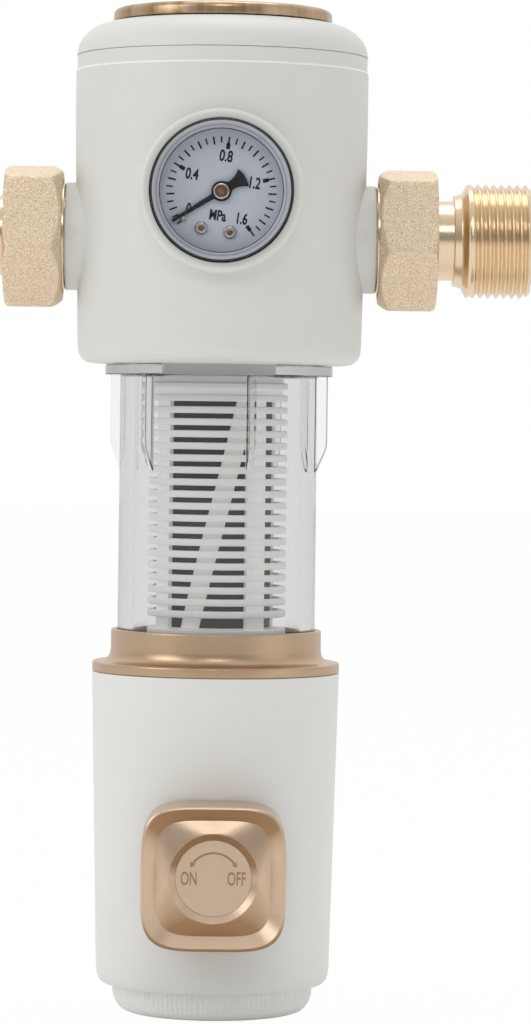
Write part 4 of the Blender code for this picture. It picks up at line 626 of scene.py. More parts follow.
def dome_arc(radius, base, run, rise):
    """A quarter of an ellipse from the flat top down to the seam."""
    points = []
    for i in range(DOME_STEPS + 1):
        angle = QUARTER * (1 - i / DOME_STEPS)
        points.append((radius - run * (1 - math.cos(angle)), base + rise * math.sin(angle), 0))
    return points


SIDE_BOSS_START = 0.0335
COLLAR_BORE = 0.0136
ARROW_X = 0.0421
ARROW_AHEAD = 0.0013
ARROW_LENGTH = 0.0026
ARROW_HALF = 0.0019
ARROW_STROKE = 0.0003
ARROW_THICK = 0.0005
ARROW_ROUND = 0.00006
ARROW_SINK = 0.0001


def side_boss(name, side):
    """The white boss round a port, its thin collar and the raised flow arrow."""
    piece(f"{name}_boss", lathe([
        (SIDE_BOSS_R, SIDE_BOSS_START, 0),
        (SIDE_BOSS_R, SIDE_BOSS_END, ROUND),
        (PORT_R, SIDE_BOSS_END, THIN),
        (PORT_R, SIDE_BOSS_START, 0),
    ], MEDIUM), "head", FINISH["white_plastic"], SIDE[side])
    piece(f"{name}_collar", lathe([
        (COLLAR_R, COLLAR_START, THIN),
        (COLLAR_R, COLLAR_END, THIN),
        (COLLAR_BORE, COLLAR_END, 0),
        (COLLAR_BORE, COLLAR_START, 0),
    ], MEDIUM), "head", FINISH["brass"], SIDE[side])
    tip = side * ARROW_X + ARROW_AHEAD
    back = tip - ARROW_LENGTH
    notch = back - ARROW_STROKE
    narrow = ARROW_HALF - ARROW_STROKE
    arrow = [
        (tip, 0), (back, ARROW_HALF), (notch, narrow), (tip - 2 * ARROW_STROKE, 0),
        (notch, -narrow), (back, -ARROW_HALF),
    ]
    stand = Matrix.Translation((0, -(SIDE_BOSS_R - ARROW_SINK), 0)) @ Matrix.Rotation(QUARTER, 4, "X")
    mesh = flat([arrow], ARROW_THICK, ARROW_ROUND)
    piece(f"{name}_arrow", mesh, "head", FINISH["white_plastic"], stand)


WHEEL_ROUND = 0.0026
SCREW_SEAT_R = 0.0036
WHEEL_HUB = [
    (0.0063, WHEEL_LOW, 0), (0.0063, 0.0578, 0), (0.0043, 0.0578, 0), (0.0043, 0.0636, 0),
    (0.0018, 0.0636, 0), (0.0018, 0.0648, 0), (SCREW_SEAT_R, 0.0648, 0),
]


def wheel():
    piece("hand_wheel", lathe([
        (SCREW_SEAT_R, WHEEL_TOP, FINE),
        (WHEEL_R, WHEEL_TOP, WHEEL_ROUND),
        (WHEEL_R, WHEEL_LOW, EDGE),
        *WHEEL_HUB,
    ]), "scraper_drum", WHEEL_FINISH, replaces=["top_wheel"], slot="gold_finish")


# Gauge

RIM_BORE = 0.01965
RIM_BACK = 0.0417
BEZEL_ROUND = 0.0005
LENS_RIM = [
    (0.01963, 0.0490, FINE), (0.01963, 0.0420, 0), (0.01745, 0.0420, 0), (0.01750, 0.0462, THIN),
    (0.01830, 0.0468, SLIM), (0.01850, 0.0482, SLIM), (0.01900, 0.0490, SLIM),
]
LINE_BACK = 0.0440
LINE_WIDTH = 0.00016
# Painted shade: black rings at the steps of the clear rim, for the dark edges that the steps show.
LENS_SHADE_LINES = {"inner": (0.01738, 0.0463), "outer": (0.01832, 0.0471)}
LENS_R = 0.0175
INNER_WALL = [
    (0.0186, 0.0420, 0), (0.0178, 0.0398, SLIM), (0.0178, 0.0394, 0), (0.0190, 0.0394, 0),
    (0.0190, 0.0420, 0),
]
DIAL_R = 0.0183
DIAL_HOLE_R = 0.0008
DIAL_THICK = 0.0005
PIN = [
    (0, 0.0405, 0), (0.0011, 0.0406, THIN), (0.0016, 0.0405, EDGE), (0.0019, 0.0400, THIN),
    (0.0019, DIAL_TOP, 0), (0, DIAL_TOP, 0),
]
PIN_CORE = [(0, 0.0410, SLIM), (0.0008, 0.0408, SLIM), (0.0008, 0.0400, 0), (0, 0.0400, 0)]
STOP_PIN = [
    (0, 0.0405, 0), (0.0006, 0.0406, FINE), (0.0009, 0.0403, THIN), (0.0009, DIAL_TOP, 0),
    (0, DIAL_TOP, 0),
]
STOP_PIN_AT = (-0.0106, -0.0078, 0)


def gauge():
    piece("gauge_rim", lathe([
        (RIM_BORE, BEZEL_FRONT, THIN),
        (BEZEL_R, BEZEL_FRONT, BEZEL_ROUND),
        (BEZEL_R, RIM_BACK, 0),
        (RIM_BORE, RIM_BACK, 0),
    ]), "head", FINISH["black_paint"], FRONT, ["gauge_bezel"])
    piece("lens_rim", lathe(LENS_RIM), "head", RIM_FINISH, FRONT, slot="clear_plastic")
    # Painted shade lines on the clear rim.
    for name, (radius, front) in LENS_SHADE_LINES.items():
        piece(f"lens_shade_line_{name}", lathe([
            (radius, LINE_BACK, 0),
            (radius + LINE_WIDTH, LINE_BACK, 0),
            (radius + LINE_WIDTH, front, 0),
            (radius, front, 0),
        ]), "head", FINISH["black_paint"], FRONT)
    lens = lathe(disc(LENS_R, LENS_LOW, LENS_TOP, THIN), MEDIUM, False)
    piece("lens_disc", lens, "head", LENS_FINISH, FRONT, ["gauge_lens"], "clear_plastic")
    piece("inner_wall", lathe(INNER_WALL), "head", RIM_FINISH, FRONT, slot="clear_plastic")
    piece("dial_plate", lathe([
        (DIAL_HOLE_R, DIAL_TOP, 0),
        (DIAL_R, DIAL_TOP, 0),
        (DIAL_R, DIAL_TOP - DIAL_THICK, 0),
        (DIAL_HOLE_R, DIAL_TOP - DIAL_THICK, 0),
    ]), "head", FINISH["dial_print"], FRONT, ["gauge_dial"])
    piece("dial_marks", joined(list(tick_marks())), "head", INK, FRONT, slot="black_paint")
    piece("dial_figures", joined(list(figures())), "head", INK, FRONT, slot="black_paint")
    for name in ("left", "right"):
        across, _, up = middle(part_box(f"dial_screw_{name}"))
        spot = Matrix.Translation((across, 0, up)) @ Matrix.Rotation(QUARTER, 4, "X")
        pin = lathe(PIN, SMALL, False)
        piece(f"dial_pin_{name}", pin, "head", FINISH["steel"], spot, [f"dial_screw_{name}"])
        core = lathe(PIN_CORE, SMALL, False)
        piece(f"dial_pin_core_{name}", core, "head", HUB_FINISH, spot, slot="steel")
    stop = lathe(STOP_PIN, SMALL, False)
    piece("stop_pin", stop, "head", FINISH["steel"], FRONT @ Matrix.Translation(STOP_PIN_AT))
    needle()


DIAL_TURN = math.radians(8)
DIAL_START = math.radians(-135)
DIVISIONS = 32
DIVISIONS_PER_FIGURE = 8
DIVISION = math.radians(270) / DIVISIONS
TICK_OUT = 0.01560
BLOCK_LENGTH = 0.00165
INK_THICK = 0.00006
INK_TOP = DIAL_TOP + INK_THICK / 2
TICKS = {"short": (0.0138, 0.00044), "long": (0.0133, 0.00050), "block": (0.0121, 0.00110)}
FIGURE_WEIGHT = 0.00013
FIGURES = [
    ("0", -0.00923, -0.00502, 0.0029, 0.66),
    ("0.4", -0.00836, 0.00470, 0.0030, 0.70),
    ("0.8", 0.00123, 0.00987, 0.0031, 0.70),
    ("1.2", 0.00925, 0.00235, 0.0031, 0.66),
    ("1.6", 0.00575, -0.00780, 0.0030, 0.66),
    ("MPa", -0.00100, -0.00692, 0.0028, 0.70),
]


def bar_at(angle, inner, outer, width):
    """A radial ink bar. The angle is clockwise from the top of the dial."""
    half = width / 2
    mesh = flat([[(-half, inner), (half, inner), (half, outer), (-half, outer)]], INK_THICK)
    return moved(mesh, Matrix.Translation((0, 0, INK_TOP)) @ Matrix.Rotation(-angle, 4, "Z"))


def tick_marks():
    for i in range(DIVISIONS + 1):
        angle = DIAL_START + DIAL_TURN + DIVISION * i
        if i % DIVISIONS_PER_FIGURE == 0 and i > 0:
            inner, width = TICKS["block"]
            yield bar_at(angle, inner, inner + BLOCK_LENGTH, width)
        inner, width = TICKS["long" if i % 2 == 0 else "short"]
        yield bar_at(angle, inner, TICK_OUT, width)


def figures():
    """The scale's numbers and unit. FIGURES has text, place on the dial, height and narrowness."""
    for text, x, y, height, narrow in FIGURES:
        mesh = words(text, height, narrow, FIGURE_WEIGHT, INK_THICK)
        yield moved(mesh, Matrix.Translation((x, y, INK_TOP)) @ Matrix.Rotation(-DIAL_TURN, 4, "Z"))


POINTER_REACH = 0.0162
POINTER_ROOT = 0.00070
POINTER_TIP = 0.00034
POINTER_BOSS = 0.0028
POINTER_THICK = 0.0004
POINTER_ROUND = 0.00008
POINTER_TURN = math.radians(121.8)
ROOT_SHARE = 0.95
BOSS_FROM = 70
BOSS_SWEEP = 110
BOSS_STEPS = 8
FAN_NECK = 0.0012
FAN_END = 0.0078
FAN_SPREAD = math.radians(21.7)
FAN_START_SHARE = 1.02
FAN_SHORTER_SHARE = 0.06
FAN_POWER = 2.4
FAN_STEPS = 6
POINTER_HUB = [
    (0, 0.0417, FINE), (0.0005, 0.0416, THIN), (0.0009, 0.0413, THIN), (0.00185, 0.0414, THIN),
    (0.00185, 0.0408, 0), (0, 0.0408, 0),
]
POINTER_RING = [(0.00178, 0.0419, FINE), (0.00228, 0.0418, THIN), (0.00232, 0.0408, 0), (0.00178, 0.0408, 0)]


def needle():
    """The pointer with its fan tail, and the bright hub."""
    side = pointer_side()
    outline = [(-POINTER_TIP, POINTER_REACH), (POINTER_TIP, POINTER_REACH), *side]
    for i in range(FAN_STEPS + 1):
        angle = FAN_SPREAD * (1 - 2 * i / FAN_STEPS)
        outline.append((FAN_END * math.sin(angle), -FAN_END * math.cos(angle)))
    outline += [(-x, y) for x, y in reversed(side)]
    turn = Matrix.Rotation(POINTER_TURN, 4, "Z")
    lift = Matrix.Translation((0, 0, -middle(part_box("gauge_needle"))[1]))
    mesh = flat([outline], POINTER_THICK, POINTER_ROUND)
    piece("pointer", mesh, "needle", FINISH["black_paint"], FRONT @ lift @ turn, ["gauge_needle"])
    hub = lathe(POINTER_HUB, SMALL, False)
    piece("pointer_hub", hub, "needle", HUB_FINISH, FRONT, ["needle_hub"], "brass")
    piece("pointer_ring", lathe(POINTER_RING, SMALL), "needle", FINISH["steel"], FRONT)


def pointer_side():
    """One side of the pointer: its root, round the boss, and down the fan."""
    points = [(POINTER_ROOT, POINTER_BOSS * ROOT_SHARE)]
    for i in range(BOSS_STEPS + 1):
        angle = math.radians(BOSS_FROM - BOSS_SWEEP * i / BOSS_STEPS)
        points.append((POINTER_BOSS * math.cos(angle), POINTER_BOSS * math.sin(angle)))
    for share in (0, 0.25, 0.5, 0.75, 1):
        out = POINTER_BOSS * FAN_START_SHARE + (FAN_END - POINTER_BOSS) * share
        wide = FAN_NECK + (FAN_END * math.sin(FAN_SPREAD) - FAN_NECK) * share ** FAN_POWER
        points.append((wide, -out * (1 - FAN_SHORTER_SHARE * share)))
    return points


# Pipe unions

NUT_FLAT = 0.0192
NUT_CORNER = math.radians(49)
NUT_START = 0.0461
NUT_END = 0.0630
NUT_SOFT = 0.0005
NUT_CONE_R = 0.0186
NUT_CONE_SLOPE = 1.24
NUT_CROWN_RISE = 0.0030
NUT_CROWN_RUN = 0.0016
NUT_HOLE_R = 0.0119
NUT_BORE_R = 0.01695
NUT_LIP = 0.0039
NUT_ROWS = 56
NUT_STEPS = 360
SIXTH = FULL / 6


def soft_min(a, b, size):
    """The smaller of two numbers, with the corner between them rounded over this size."""
    share = max(size - abs(a - b), 0) / size
    return min(a, b) - share * share * size / 4


def hexagon(first_corner):
    """Radius of a hexagon with soft corners, as a function of the angle."""
    def radius(angle):
        turn = (angle - first_corner) % SIXTH
        near = NUT_FLAT / math.cos(turn - SIXTH / 2)
        return soft_min(near, NUT_FLAT / math.cos(SIXTH / 2), NUT_SOFT)
    return radius


def nut(name, side):
    corner = hexagon(-QUARTER - side * NUT_CORNER)
    loops = []
    for i in range(NUT_ROWS + 1):
        x = NUT_START + (NUT_END - NUT_START) * (1 - math.cos(math.pi * i / NUT_ROWS)) / 2
        cone = NUT_CONE_R + NUT_CONE_SLOPE * (x - NUT_START)
        crown = NUT_FLAT + NUT_CROWN_RISE * math.sqrt((NUT_END - x) / NUT_CROWN_RUN)
        turned = min(cone, crown)
        loops.append(circle(lambda angle: soft_min(corner(angle), turned, NUT_SOFT), x, NUT_STEPS))
    loops.append(circle(NUT_HOLE_R, NUT_END, NUT_STEPS))
    loops.append(circle(NUT_HOLE_R, NUT_END - NUT_LIP, NUT_STEPS))
    loops.append(circle(NUT_BORE_R, NUT_END - NUT_LIP, NUT_STEPS))
    loops.append(circle(NUT_BORE_R, NUT_START, NUT_STEPS))
    finish = FINISH["nut_brass"]
    piece(f"{name}_union_nut", skin(loops), f"{name}_union_nut", finish, SIDE[side], [f"{name}_nut"])


THREAD_R = 0.016625
THREAD_PITCH = 0.002309
THREAD_DEPTH = 0.00115
THREAD_START = 0.0717
THREAD_ROWS = 96
THREAD_SHARP = math.radians(60)
FADE_SHARE = 0.6
CREST_SHARE = 0.12
FLANK_SHARE = 0.76
TAIL_END = 0.0903
TAIL_CHAMFER = 0.0011
TAIL = [
    (0.0095, TAIL_END, THIN), (0.0095, 0.0566, 0), (0.0152, 0.0566, 0), (0.0152, 0.0588, 0),
    (0.0116, 0.0588, 0), (0.0116, 0.0680, THIN), (0.0132, 0.0680, THIN), (0.0138, 0.0704, ROUND),
    (THREAD_R - EDGE, THREAD_START, SLIM),
]


def thread_radius(x):
    """Radius of the male thread at a distance along the tail, as a function of the angle."""
    start = max(0, (x - THREAD_START) / THREAD_PITCH)
    end = max(0, (TAIL_END - x) / (FADE_SHARE * THREAD_PITCH))
    fade = min(1, start, end)
    rim = THREAD_R - max(0, TAIL_CHAMFER - (TAIL_END - x))

    def radius(angle):
        phase = (x / THREAD_PITCH - angle / FULL) % 1
        ridge = min(1, max(0, (abs(2 * phase - 1) - CREST_SHARE) / FLANK_SHARE))
        return rim - THREAD_DEPTH * (1 - ridge) * fade
    return radius


def tail(name, side):
    loops = [circle(radius, x, MEDIUM) for radius, x in rounded(TAIL, False)]
    for i in range(1, THREAD_ROWS + 1):
        x = THREAD_START + (TAIL_END - THREAD_START) * i / THREAD_ROWS
        loops.append(circle(thread_radius(x), x, MEDIUM))
    finish = FINISH["brass"]
    piece(f"{name}_pipe_tail", skin(loops), "head", finish, SIDE[side], [f"{name}_tail"], sharp=THREAD_SHARP)


# Clear bowl

FLANGE_TOP = -0.0373
FLANGE_LOW = -0.0403
FLANGE_R = 0.0333
NECK_R = 0.031
NECK_TOP = -0.0197
BOWL_R = 0.0289
BOWL_BORE = 0.0247
BOWL_LOW = -0.134
BOWL_FLOOR = 0.005
BOWL_ROUND = 0.0045
SPOUT_R = 0.012
SPOUT_BORE = 0.008
SPOUT_LOW = -0.146
FIN_R = 0.0324
FIN_ROOT = 0.0270
FIN_THICK = 0.0019
FIN_AZIMUTH = math.radians(18)
FINS = 6
FIN = [
    (FIN_ROOT, -0.0388, 0), (FIN_R, -0.0388, 0), (FIN_R, -0.0608, 0.002), (0.0293, -0.0680, 0.001),
    (FIN_ROOT, -0.0690, 0),
]


def bowl():
    shape = lathe([
        (BOWL_BORE, NECK_TOP, SLIM), (NECK_R, NECK_TOP, EDGE), (NECK_R, FLANGE_TOP, 0),
        (FLANGE_R, FLANGE_TOP, SLIM), (FLANGE_R, FLANGE_LOW, EDGE), (BOWL_R, FLANGE_LOW, ROUND),
        (BOWL_R, BOWL_LOW, BOWL_ROUND), (SPOUT_R, BOWL_LOW, 0), (SPOUT_R, SPOUT_LOW, 0),
        (SPOUT_BORE, SPOUT_LOW, 0), (SPOUT_BORE, BOWL_LOW + BOWL_FLOOR, 0),
        (BOWL_BORE, BOWL_LOW + BOWL_FLOOR, BOWL_ROUND),
    ])
    fins = []
    for i in range(FINS):
        azimuth = FIN_AZIMUTH - QUARTER + FULL * i / FINS
        slab = flat([rounded(FIN)], FIN_THICK, EDGE)
        fins.append(moved(slab, Matrix.Rotation(azimuth, 4, "Z") @ Matrix.Rotation(QUARTER, 4, "X")))
    mesh = combined(shape, fins, "UNION")
    piece("clear_bowl", mesh, "bowl_assembly", FINISH["clear_plastic"], replaces=["bowl"])


# Cage, wiper and mesh drum

CAGE_TOP = -0.0403
CAGE_FLOOR = -0.1138
CAGE_LOW = -0.116
CAGE_R = 0.0203
CAGE_HOLE_R = 0.0056
RING_PITCH = 0.00348
RING_COUNT = 21
RING_LIFT = 0.0005
RING_THICK = 0.0020
RING_BORE = 0.0185
BLIND_LOW = CAGE_TOP - 2 * RING_PITCH
CAGE_HEAD = [
    (0.0167, -0.0303, 0), (0.0167, CAGE_TOP, 0), (0.0190, CAGE_TOP, SLIM), (0.0190, BLIND_LOW, 0),
    (0.0180, BLIND_LOW, 0), (0.0180, CAGE_TOP - 0.0018, 0), (0.0153, CAGE_TOP - 0.0018, 0),
    (0.0153, -0.0303, 0),
]
POSTS = 4
POST_AZIMUTH = math.radians(35)
POST_HALF = 0.0031
POST_R = 0.0188
POST_INSET = 0.001
POST_OUTLINE = [(0.0176, -1), (0.0190, -1), (0.0192, -0.3), (0.0192, 0.3), (0.0190, 1), (0.0176, 1)]
DRUM_R = 0.0157
DRUM_BORE = 0.0152


def cage():
    rings = []
    for i in range(1, RING_COUNT):
        centre = CAGE_TOP + RING_LIFT - i * RING_PITCH
        top = centre + RING_THICK / 2
        low = centre - RING_THICK / 2
        ring = [(CAGE_R, top, ROUND), (CAGE_R, low, ROUND), (RING_BORE, low, 0), (RING_BORE, top, 0)]
        rings.append(lathe(ring, MEDIUM))
    piece("cage_rings", joined(rings), "head", FINISH["milky_plastic"], replaces=["cage"])
    piece("cage_top", lathe(CAGE_HEAD, MEDIUM), "head", FINISH["milky_plastic"])
    piece("cage_floor", lathe([
        (CAGE_R, CAGE_FLOOR, EDGE), (CAGE_R, CAGE_LOW, EDGE), (CAGE_HOLE_R, CAGE_LOW, 0),
        (CAGE_HOLE_R, CAGE_FLOOR, 0),
    ], MEDIUM), "head", FINISH["milky_plastic"])
    piece("cage_posts", joined(list(posts())), "head", FINISH["milky_plastic"])
    wiper()
    mesh_low, mesh_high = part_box("mesh_tube")
    piece("wire_mesh", lathe([
        (DRUM_R, mesh_high[2], 0), (DRUM_R, mesh_low[2], 0), (DRUM_BORE, mesh_low[2], 0),
        (DRUM_BORE, mesh_high[2], 0),
    ], MEDIUM), "scraper_drum", FINISH["steel_mesh"], replaces=["mesh_tube"])


def posts():
    """The upright bars of the cage. POST_OUTLINE has a radius and a share of the half width."""
    half = POST_HALF / POST_R
    for i in range(POSTS):
        turn = POST_AZIMUTH - QUARTER + FULL * i / POSTS
        loops = []
        for height in (BLIND_LOW + POST_INSET, CAGE_FLOOR - POST_INSET):
            places = [(radius, turn + share * half) for radius, share in POST_OUTLINE]
            loops.append([(radius * math.cos(a), radius * math.sin(a), height) for radius, a in places])
        yield skin(loops, False, True)


WIPER_R = 0.0171
WIPER_BORE = 0.0160
WIPER_WIDTH = 0.0051
WIPER_START = 31.5
WIPER_SWEEP = 58
WIPER_ROWS = 40
WIPER_STEPS = 6


def wiper():
    """The slanting blade over the mesh."""
    low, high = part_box("wiper")
    width = WIPER_WIDTH / WIPER_BORE
    loops = []
    for i in range(WIPER_ROWS + 1):
        share = i / WIPER_ROWS
        turn = math.radians(WIPER_START - WIPER_SWEEP * share) - QUARTER
        height = high[2] + (low[2] - high[2]) * share
        angles = [turn + width * (step / WIPER_STEPS - 0.5) for step in range(WIPER_STEPS + 1)]
        loop = [(WIPER_R * math.cos(a), WIPER_R * math.sin(a), height) for a in angles]
        loop += [(WIPER_BORE * math.cos(a), WIPER_BORE * math.sin(a), height) for a in reversed(angles)]
        loops.append(loop)
    piece("scraper_blade", skin(loops, False, True), "head", FINISH["milky_plastic"], replaces=["wiper"],
          slot="white_plastic")


# Gold ring, housing and foot

HOUSING_TOP_R = 0.0362
HOUSING_LOW_R = 0.0341
HOUSING_TOP = -0.12688
HOUSING_LOW = -0.218
RING_LOW = -0.1268
FOOT_TOP = -0.2183
FOOT_LOW = -0.2265
FOOT_R = 0.0293
RING = [
    (0.0292, -0.1145, SLIM), (0.0308, -0.1145, ROUND), (0.0308, -0.1234, 0.0034),
    (HOUSING_TOP_R, -0.1240, 0.0005), (HOUSING_TOP_R, RING_LOW, SLIM), (0.0292, RING_LOW, 0),
]
HOUSING = [
    (HOUSING_TOP_R, HOUSING_TOP, SLIM), (HOUSING_LOW_R, HOUSING_LOW, 0.0046), (0.0291, HOUSING_LOW, THIN),
    (0.0291, -0.205, 0), (0.0308, -0.202, 0), (0.0332, -0.1373, 0), (0.0123, -0.1373, 0),
    (0.0123, -0.1343, 0), (0.0332, -0.1343, 0), (0.0332, HOUSING_TOP, 0),
]
FOOT = [
    (0.0266, -0.2083, 0), (0.0288, -0.2083, THIN), (0.0288, FOOT_TOP, 0), (FOOT_R, FOOT_TOP, SLIM),
    (FOOT_R, -0.2222, 0.002), (0.0268, -0.2262, 0.0022), (0.0086, FOOT_LOW, SLIM), (0.0086, -0.2243, 0),
    (0.0266, -0.2243, 0),
]
FOOT_SHARP = math.radians(50)
FOOT_RIBS = 120
STEPS_PER_RIB = 6
RIB_DEPTH = 0.00035
RIB_POWER = 0.7
RIBBED_FROM_R = 0.0283


def lower_body():
    piece("bowl_ring", lathe(RING), "bowl_assembly", RING_FINISH, replaces=["gold_ring"], slot="gold_finish")
    piece("housing", lathe(HOUSING), "bowl_assembly", HOUSING_PAINTED_LIGHT, replaces=["lower_housing"],
          slot="white_plastic")
    loops = []
    for radius, height in rounded(FOOT):
        ribbed = radius > RIBBED_FROM_R and height < FOOT_TOP - SLIM
        depth = RIB_DEPTH if ribbed else 0
        loops.append(circle(rib_radius(radius, depth), height, FOOT_RIBS * STEPS_PER_RIB))
    piece("ribbed_foot", skin(loops), "foot", FOOT_PAINTED_LIGHT, UP, ["foot_cap"], "white_plastic", FOOT_SHARP)


def rib_radius(radius, depth):
    return lambda angle: radius - depth * (0.5 - 0.5 * math.cos(FOOT_RIBS * angle)) ** RIB_POWER


# Drain knob

KNOB_BACK = 0.036085
KNOB_FRONT = 0.054285
KNOB_HALF = 0.0205
KNOB_BACK_HALF = 0.0178
KNOB_POINTS = 192
KNOB_SHARP = math.radians(24)
SQUARE = 4.4
SQUARE_LOSS = 2.4
LOSS_POWER = 0.8
SOCKET_HALF = 0.0168
SOCKET_DEPTH = 0.006
RIM_ROUND = 0.0009
RIM_STEPS = 4
RIM_START_SHARE = 1.6
VALLEY_HALF = 0.0163
VALLEY_DEPTH = 0.0023
RIDGE_HALF = 0.0129
RIDGE_RISE = 0.0017
WELL = [(0.0126, 0.00055), (0.0108, 0.0021), (0.01075, 0.0036)]
DISH = 0.052085
FACE_R = 0.01073
FACE_THICK = 0.0012
FACE_SHARP = math.radians(20)
ENGRAVE = 0.0004
WORD_SINK_SHARE = 0.8
CUT_WEIGHT = 0.00007
FILL_WEIGHT = 0.00002
WORD_HEIGHT = 0.0037
WORD_NARROW = 0.56
WORD_PLACES = {"ON": (-0.0069, -0.0002, 0), "OFF": (0.0065, -0.0002, 0)}


def squircle(half, squareness, height):
    """A loop between a circle (2) and a square (a large number)."""
    power = 2 / squareness
    loop = []
    for i in range(KNOB_POINTS):
        angle = FULL * i / KNOB_POINTS
        x = math.copysign(abs(math.cos(angle)) ** power, math.cos(angle))
        y = math.copysign(abs(math.sin(angle)) ** power, math.sin(angle))
        loop.append((half * x, half * y, height))
    return loop


def knob():
    mesh = skin([squircle(*row) for row in knob_rows()], False, True)
    piece("drain_handle", mesh, "drain_knob", KNOB_FINISH, VALVE, ["knob"], "gold_finish", KNOB_SHARP)
    face = lathe(disc(FACE_R, DISH - FACE_THICK, DISH), MEDIUM, False)
    face = combined(face, engraving(CUT_WEIGHT, 2 * ENGRAVE, DISH), "DIFFERENCE")
    filled = joined(engraving(FILL_WEIGHT, ENGRAVE / 4, DISH - ENGRAVE * WORD_SINK_SHARE))
    piece("handle_words", filled, "drain_knob", WORD_FINISH, VALVE, slot="gold_finish")
    piece("handle_face", face, "drain_knob", KNOB_FINISH, VALVE, ["knob_face"], "gold_finish", FACE_SHARP)


def knob_rows():
    """Half width, squareness and height, from the socket round the rim and down into the well."""
    rows = [
        (SOCKET_HALF, SQUARE, KNOB_BACK + SOCKET_DEPTH),
        (KNOB_BACK_HALF, SQUARE, KNOB_BACK),
        (KNOB_HALF, SQUARE, KNOB_BACK),
        (KNOB_HALF, SQUARE, KNOB_FRONT - RIM_ROUND * RIM_START_SHARE),
    ]
    for i in range(RIM_STEPS + 1):
        angle = QUARTER * i / RIM_STEPS
        half = KNOB_HALF - RIM_ROUND * (1 - math.cos(angle))
        rows.append((half, SQUARE, KNOB_FRONT - RIM_ROUND * (1 - math.sin(angle))))
    inner = KNOB_HALF - RIM_ROUND
    for share in (0.02, 0.5, 0.94, 1):
        rows.append((inner - (inner - VALLEY_HALF) * share, SQUARE, KNOB_FRONT - VALLEY_DEPTH * share))
    for share in (0.06, 0.25, 0.5, 0.75, 0.96, 1):
        half = VALLEY_HALF - (VALLEY_HALF - RIDGE_HALF) * share
        height = KNOB_FRONT - VALLEY_DEPTH + RIDGE_RISE * share
        rows.append((half, SQUARE - SQUARE_LOSS * share ** LOSS_POWER, height))
    rows += [(half, 2, KNOB_FRONT - depth) for half, depth in WELL]
    return rows


def engraving(weight, thickness, height):
    """The words and the arc over them, as meshes about one height."""
    place = Matrix.Translation((0, 0, height))
    made = [moved(curved_arrow(thickness), place)]
    for text, spot in WORD_PLACES.items():
        mesh = words(text, WORD_HEIGHT, WORD_NARROW, weight, thickness)
        made.append(moved(mesh, place @ Matrix.Translation(spot)))
    return made


ARC_R = 0.0072
ARC_WIDTH = 0.0006
ARC_HALF = math.radians(54)
ARC_STEPS = 24
ARC_HEAD_HALF = 0.0009
ARC_HEAD_LENGTH = 0.0013


def curved_arrow(thickness):
    """A thin arc over the words with a small head at each end."""
    outer, inner = [], []
    for points, sign in ((outer, 1), (inner, -1)):
        size = ARC_R + sign * ARC_WIDTH / 2
        for i in range(ARC_STEPS + 1):
            angle = QUARTER + sign * ARC_HALF * (1 - 2 * i / ARC_STEPS)
            points.append((size * math.cos(angle), size * math.sin(angle)))
    right, left = arc_head(-1), arc_head(1)
    return flat([[*outer, *right, *inner, *reversed(left)]], thickness)


def arc_head(sign):
    """The outer corner, the tip and the inner corner of an arrow head."""
    angle = QUARTER + sign * ARC_HALF
    out = Vector((math.cos(angle), math.sin(angle)))
    along = Vector((-math.sin(angle), math.cos(angle))) * sign
    base = Vector((ARC_R * math.cos(angle), ARC_R * math.sin(angle)))
    corners = (base + out * ARC_HEAD_HALF, base + along * ARC_HEAD_LENGTH, base - out * ARC_HEAD_HALF)
    return [tuple(corner) for corner in corners]


# Stage

FLOOR_HALF = 6
FLOOR_THICK = 0.01
FLOOR_DROP = 0.0052
FLOOR_DARK = 0.91
FLOOR_LIGHT = 0.94
FLOOR_ROUGH = 0.9
FLOOR_GLOW = 0.97


def stage():
    floor_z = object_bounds()[0][2]
    half = FLOOR_HALF
    mesh = flat([[(-half, -half), (half, -half), (half, half), (-half, half)]], FLOOR_THICK)
    mesh.transform(Matrix.Translation((0, 0, floor_z - FLOOR_DROP)))
    material = bpy.data.materials.new("pale_floor")
    material.use_nodes = True
    tree = material.node_tree
    shader = shader_of(material)
    grain = node(tree, "ShaderNodeTexNoise", Scale=40, Detail=3)
    tone = node(tree, "ShaderNodeMapRange", **{"To Min": FLOOR_DARK, "To Max": FLOOR_LIGHT})
    tree.links.new(grain.outputs["Fac"], tone.inputs["Value"])
    tree.links.new(tone.outputs["Result"], shader.inputs["Base Color"])
    shader.inputs["Roughness"].default_value = FLOOR_ROUGH
    glow = node(tree, "ShaderNodeEmission", Color=(1, 1, 1, 1), Strength=1)
    share = node(tree, "ShaderNodeMath")
    share.operation = "MULTIPLY"
    share.inputs[1].default_value = FLOOR_GLOW
    tree.links.new(any_ray(tree, "Is Camera Ray", "Is Transmission Ray"), share.inputs[0])
    mix = tree.nodes.new("ShaderNodeMixShader")
    tree.links.new(share.outputs["Value"], mix.inputs["Fac"])
    tree.links.new(shader.outputs["BSDF"], mix.inputs[1])
    tree.links.new(glow.outputs["Emission"], mix.inputs[2])
    tree.links.new(mix.outputs["Shader"], tree.nodes["Material Output"].inputs["Surface"])
    floor = bpy.data.objects.new("floor", mesh)
    mesh.materials.append(material)
    bpy.context.scene.collection.objects.link(floor)
    floor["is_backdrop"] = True


WORLD_FRONT = 0.31
WORLD_BACK = 0.88
WORLD_TOP = 0.3
TOP_FROM = 0.2
LAMP_TARGET = Vector((0, 0, -0.06))
LAMPS = [
    ("key", (-1.3, -0.8, 0.7), 5.0, 0.9),
    ("fill", (1.3, -0.7, 0.2), 1.0, 1.0),
    ("front", (0, -1.15, 0.75), 1.4, 0.35),
    ("top", (0.1, 0.3, 1.3), 3.6, 0.8),
]


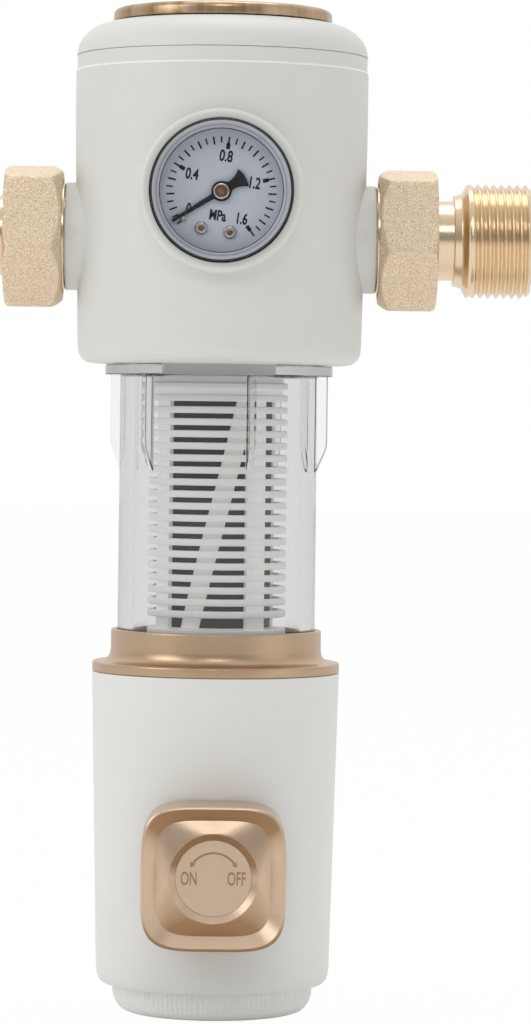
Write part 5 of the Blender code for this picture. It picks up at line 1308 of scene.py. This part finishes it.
def light():
    world = bpy.data.worlds.new("studio")
    bpy.context.scene.world = world
    world.use_nodes = True
    tree = world.node_tree
    back = tree.nodes["Background"]
    back.inputs["Color"].default_value = (1, 1, 1, 1)
    place = tree.nodes.new("ShaderNodeTexCoord")
    split = tree.nodes.new("ShaderNodeSeparateXYZ")
    tree.links.new(place.outputs["Generated"], split.inputs["Vector"])
    depth = node(tree, "ShaderNodeMapRange", **{"From Min": -1.0, "To Min": WORLD_FRONT,
                                                "To Max": WORLD_BACK})
    tree.links.new(split.outputs["Y"], depth.inputs["Value"])
    above = node(tree, "ShaderNodeMapRange", **{"From Min": TOP_FROM, "To Max": WORLD_TOP})
    tree.links.new(split.outputs["Z"], above.inputs["Value"])
    room = node(tree, "ShaderNodeMath")
    room.operation = "ADD"
    tree.links.new(depth.outputs["Result"], room.inputs[0])
    tree.links.new(above.outputs["Result"], room.inputs[1])
    level = node(tree, "ShaderNodeMix", B=1.0)
    tree.links.new(any_ray(tree, "Is Camera Ray", "Is Transmission Ray"), level.inputs["Factor"])
    tree.links.new(room.outputs["Value"], level.inputs["A"])
    tree.links.new(level.outputs["Result"], back.inputs["Strength"])
    for name, spot, power, size in LAMPS:
        lamp = bpy.data.lights.new(name, "AREA")
        lamp.energy = power
        lamp.size = size
        obj = bpy.data.objects.new(name, lamp)
        obj.location = spot
        obj.rotation_euler = (LAMP_TARGET - Vector(spot)).to_track_quat("-Z", "Y").to_euler()
        bpy.context.scene.collection.objects.link(obj)


CAMERA_AT = Vector((-0.0018, -1.2, -0.050))
CAMERA_TO = Vector((0.0141, 0, -0.080))
CAMERA_ROLL = math.radians(0.69)
CAMERA_LENS = 143.9


def camera():
    data = bpy.data.cameras.new("camera")
    data.lens = CAMERA_LENS
    obj = bpy.data.objects.new("camera", data)
    aim = (CAMERA_TO - CAMERA_AT).to_track_quat("-Z", "Y").to_matrix().to_4x4()
    obj.matrix_world = Matrix.Translation(CAMERA_AT) @ aim @ Matrix.Rotation(CAMERA_ROLL, 4, "Z")
    bpy.context.scene.collection.objects.link(obj)
    bpy.context.scene.camera = obj


def carried_over():
    """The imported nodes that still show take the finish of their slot."""
    for entry in frame["record"]["subparts"]:
        obj = frame["nodes"][entry["node"]]
        for place in obj.material_slots:
            place.material = FINISH[entry["material_slot"]]


head()
wheel()
gauge()
for label, end in (("inlet", -1), ("outlet", 1)):
    nut(label, end)
    tail(label, end)
bowl()
cage()
lower_body()
knob()
carried_over()
stage()
light()
camera()
bpy.context.scene.view_settings.view_transform = "Standard"
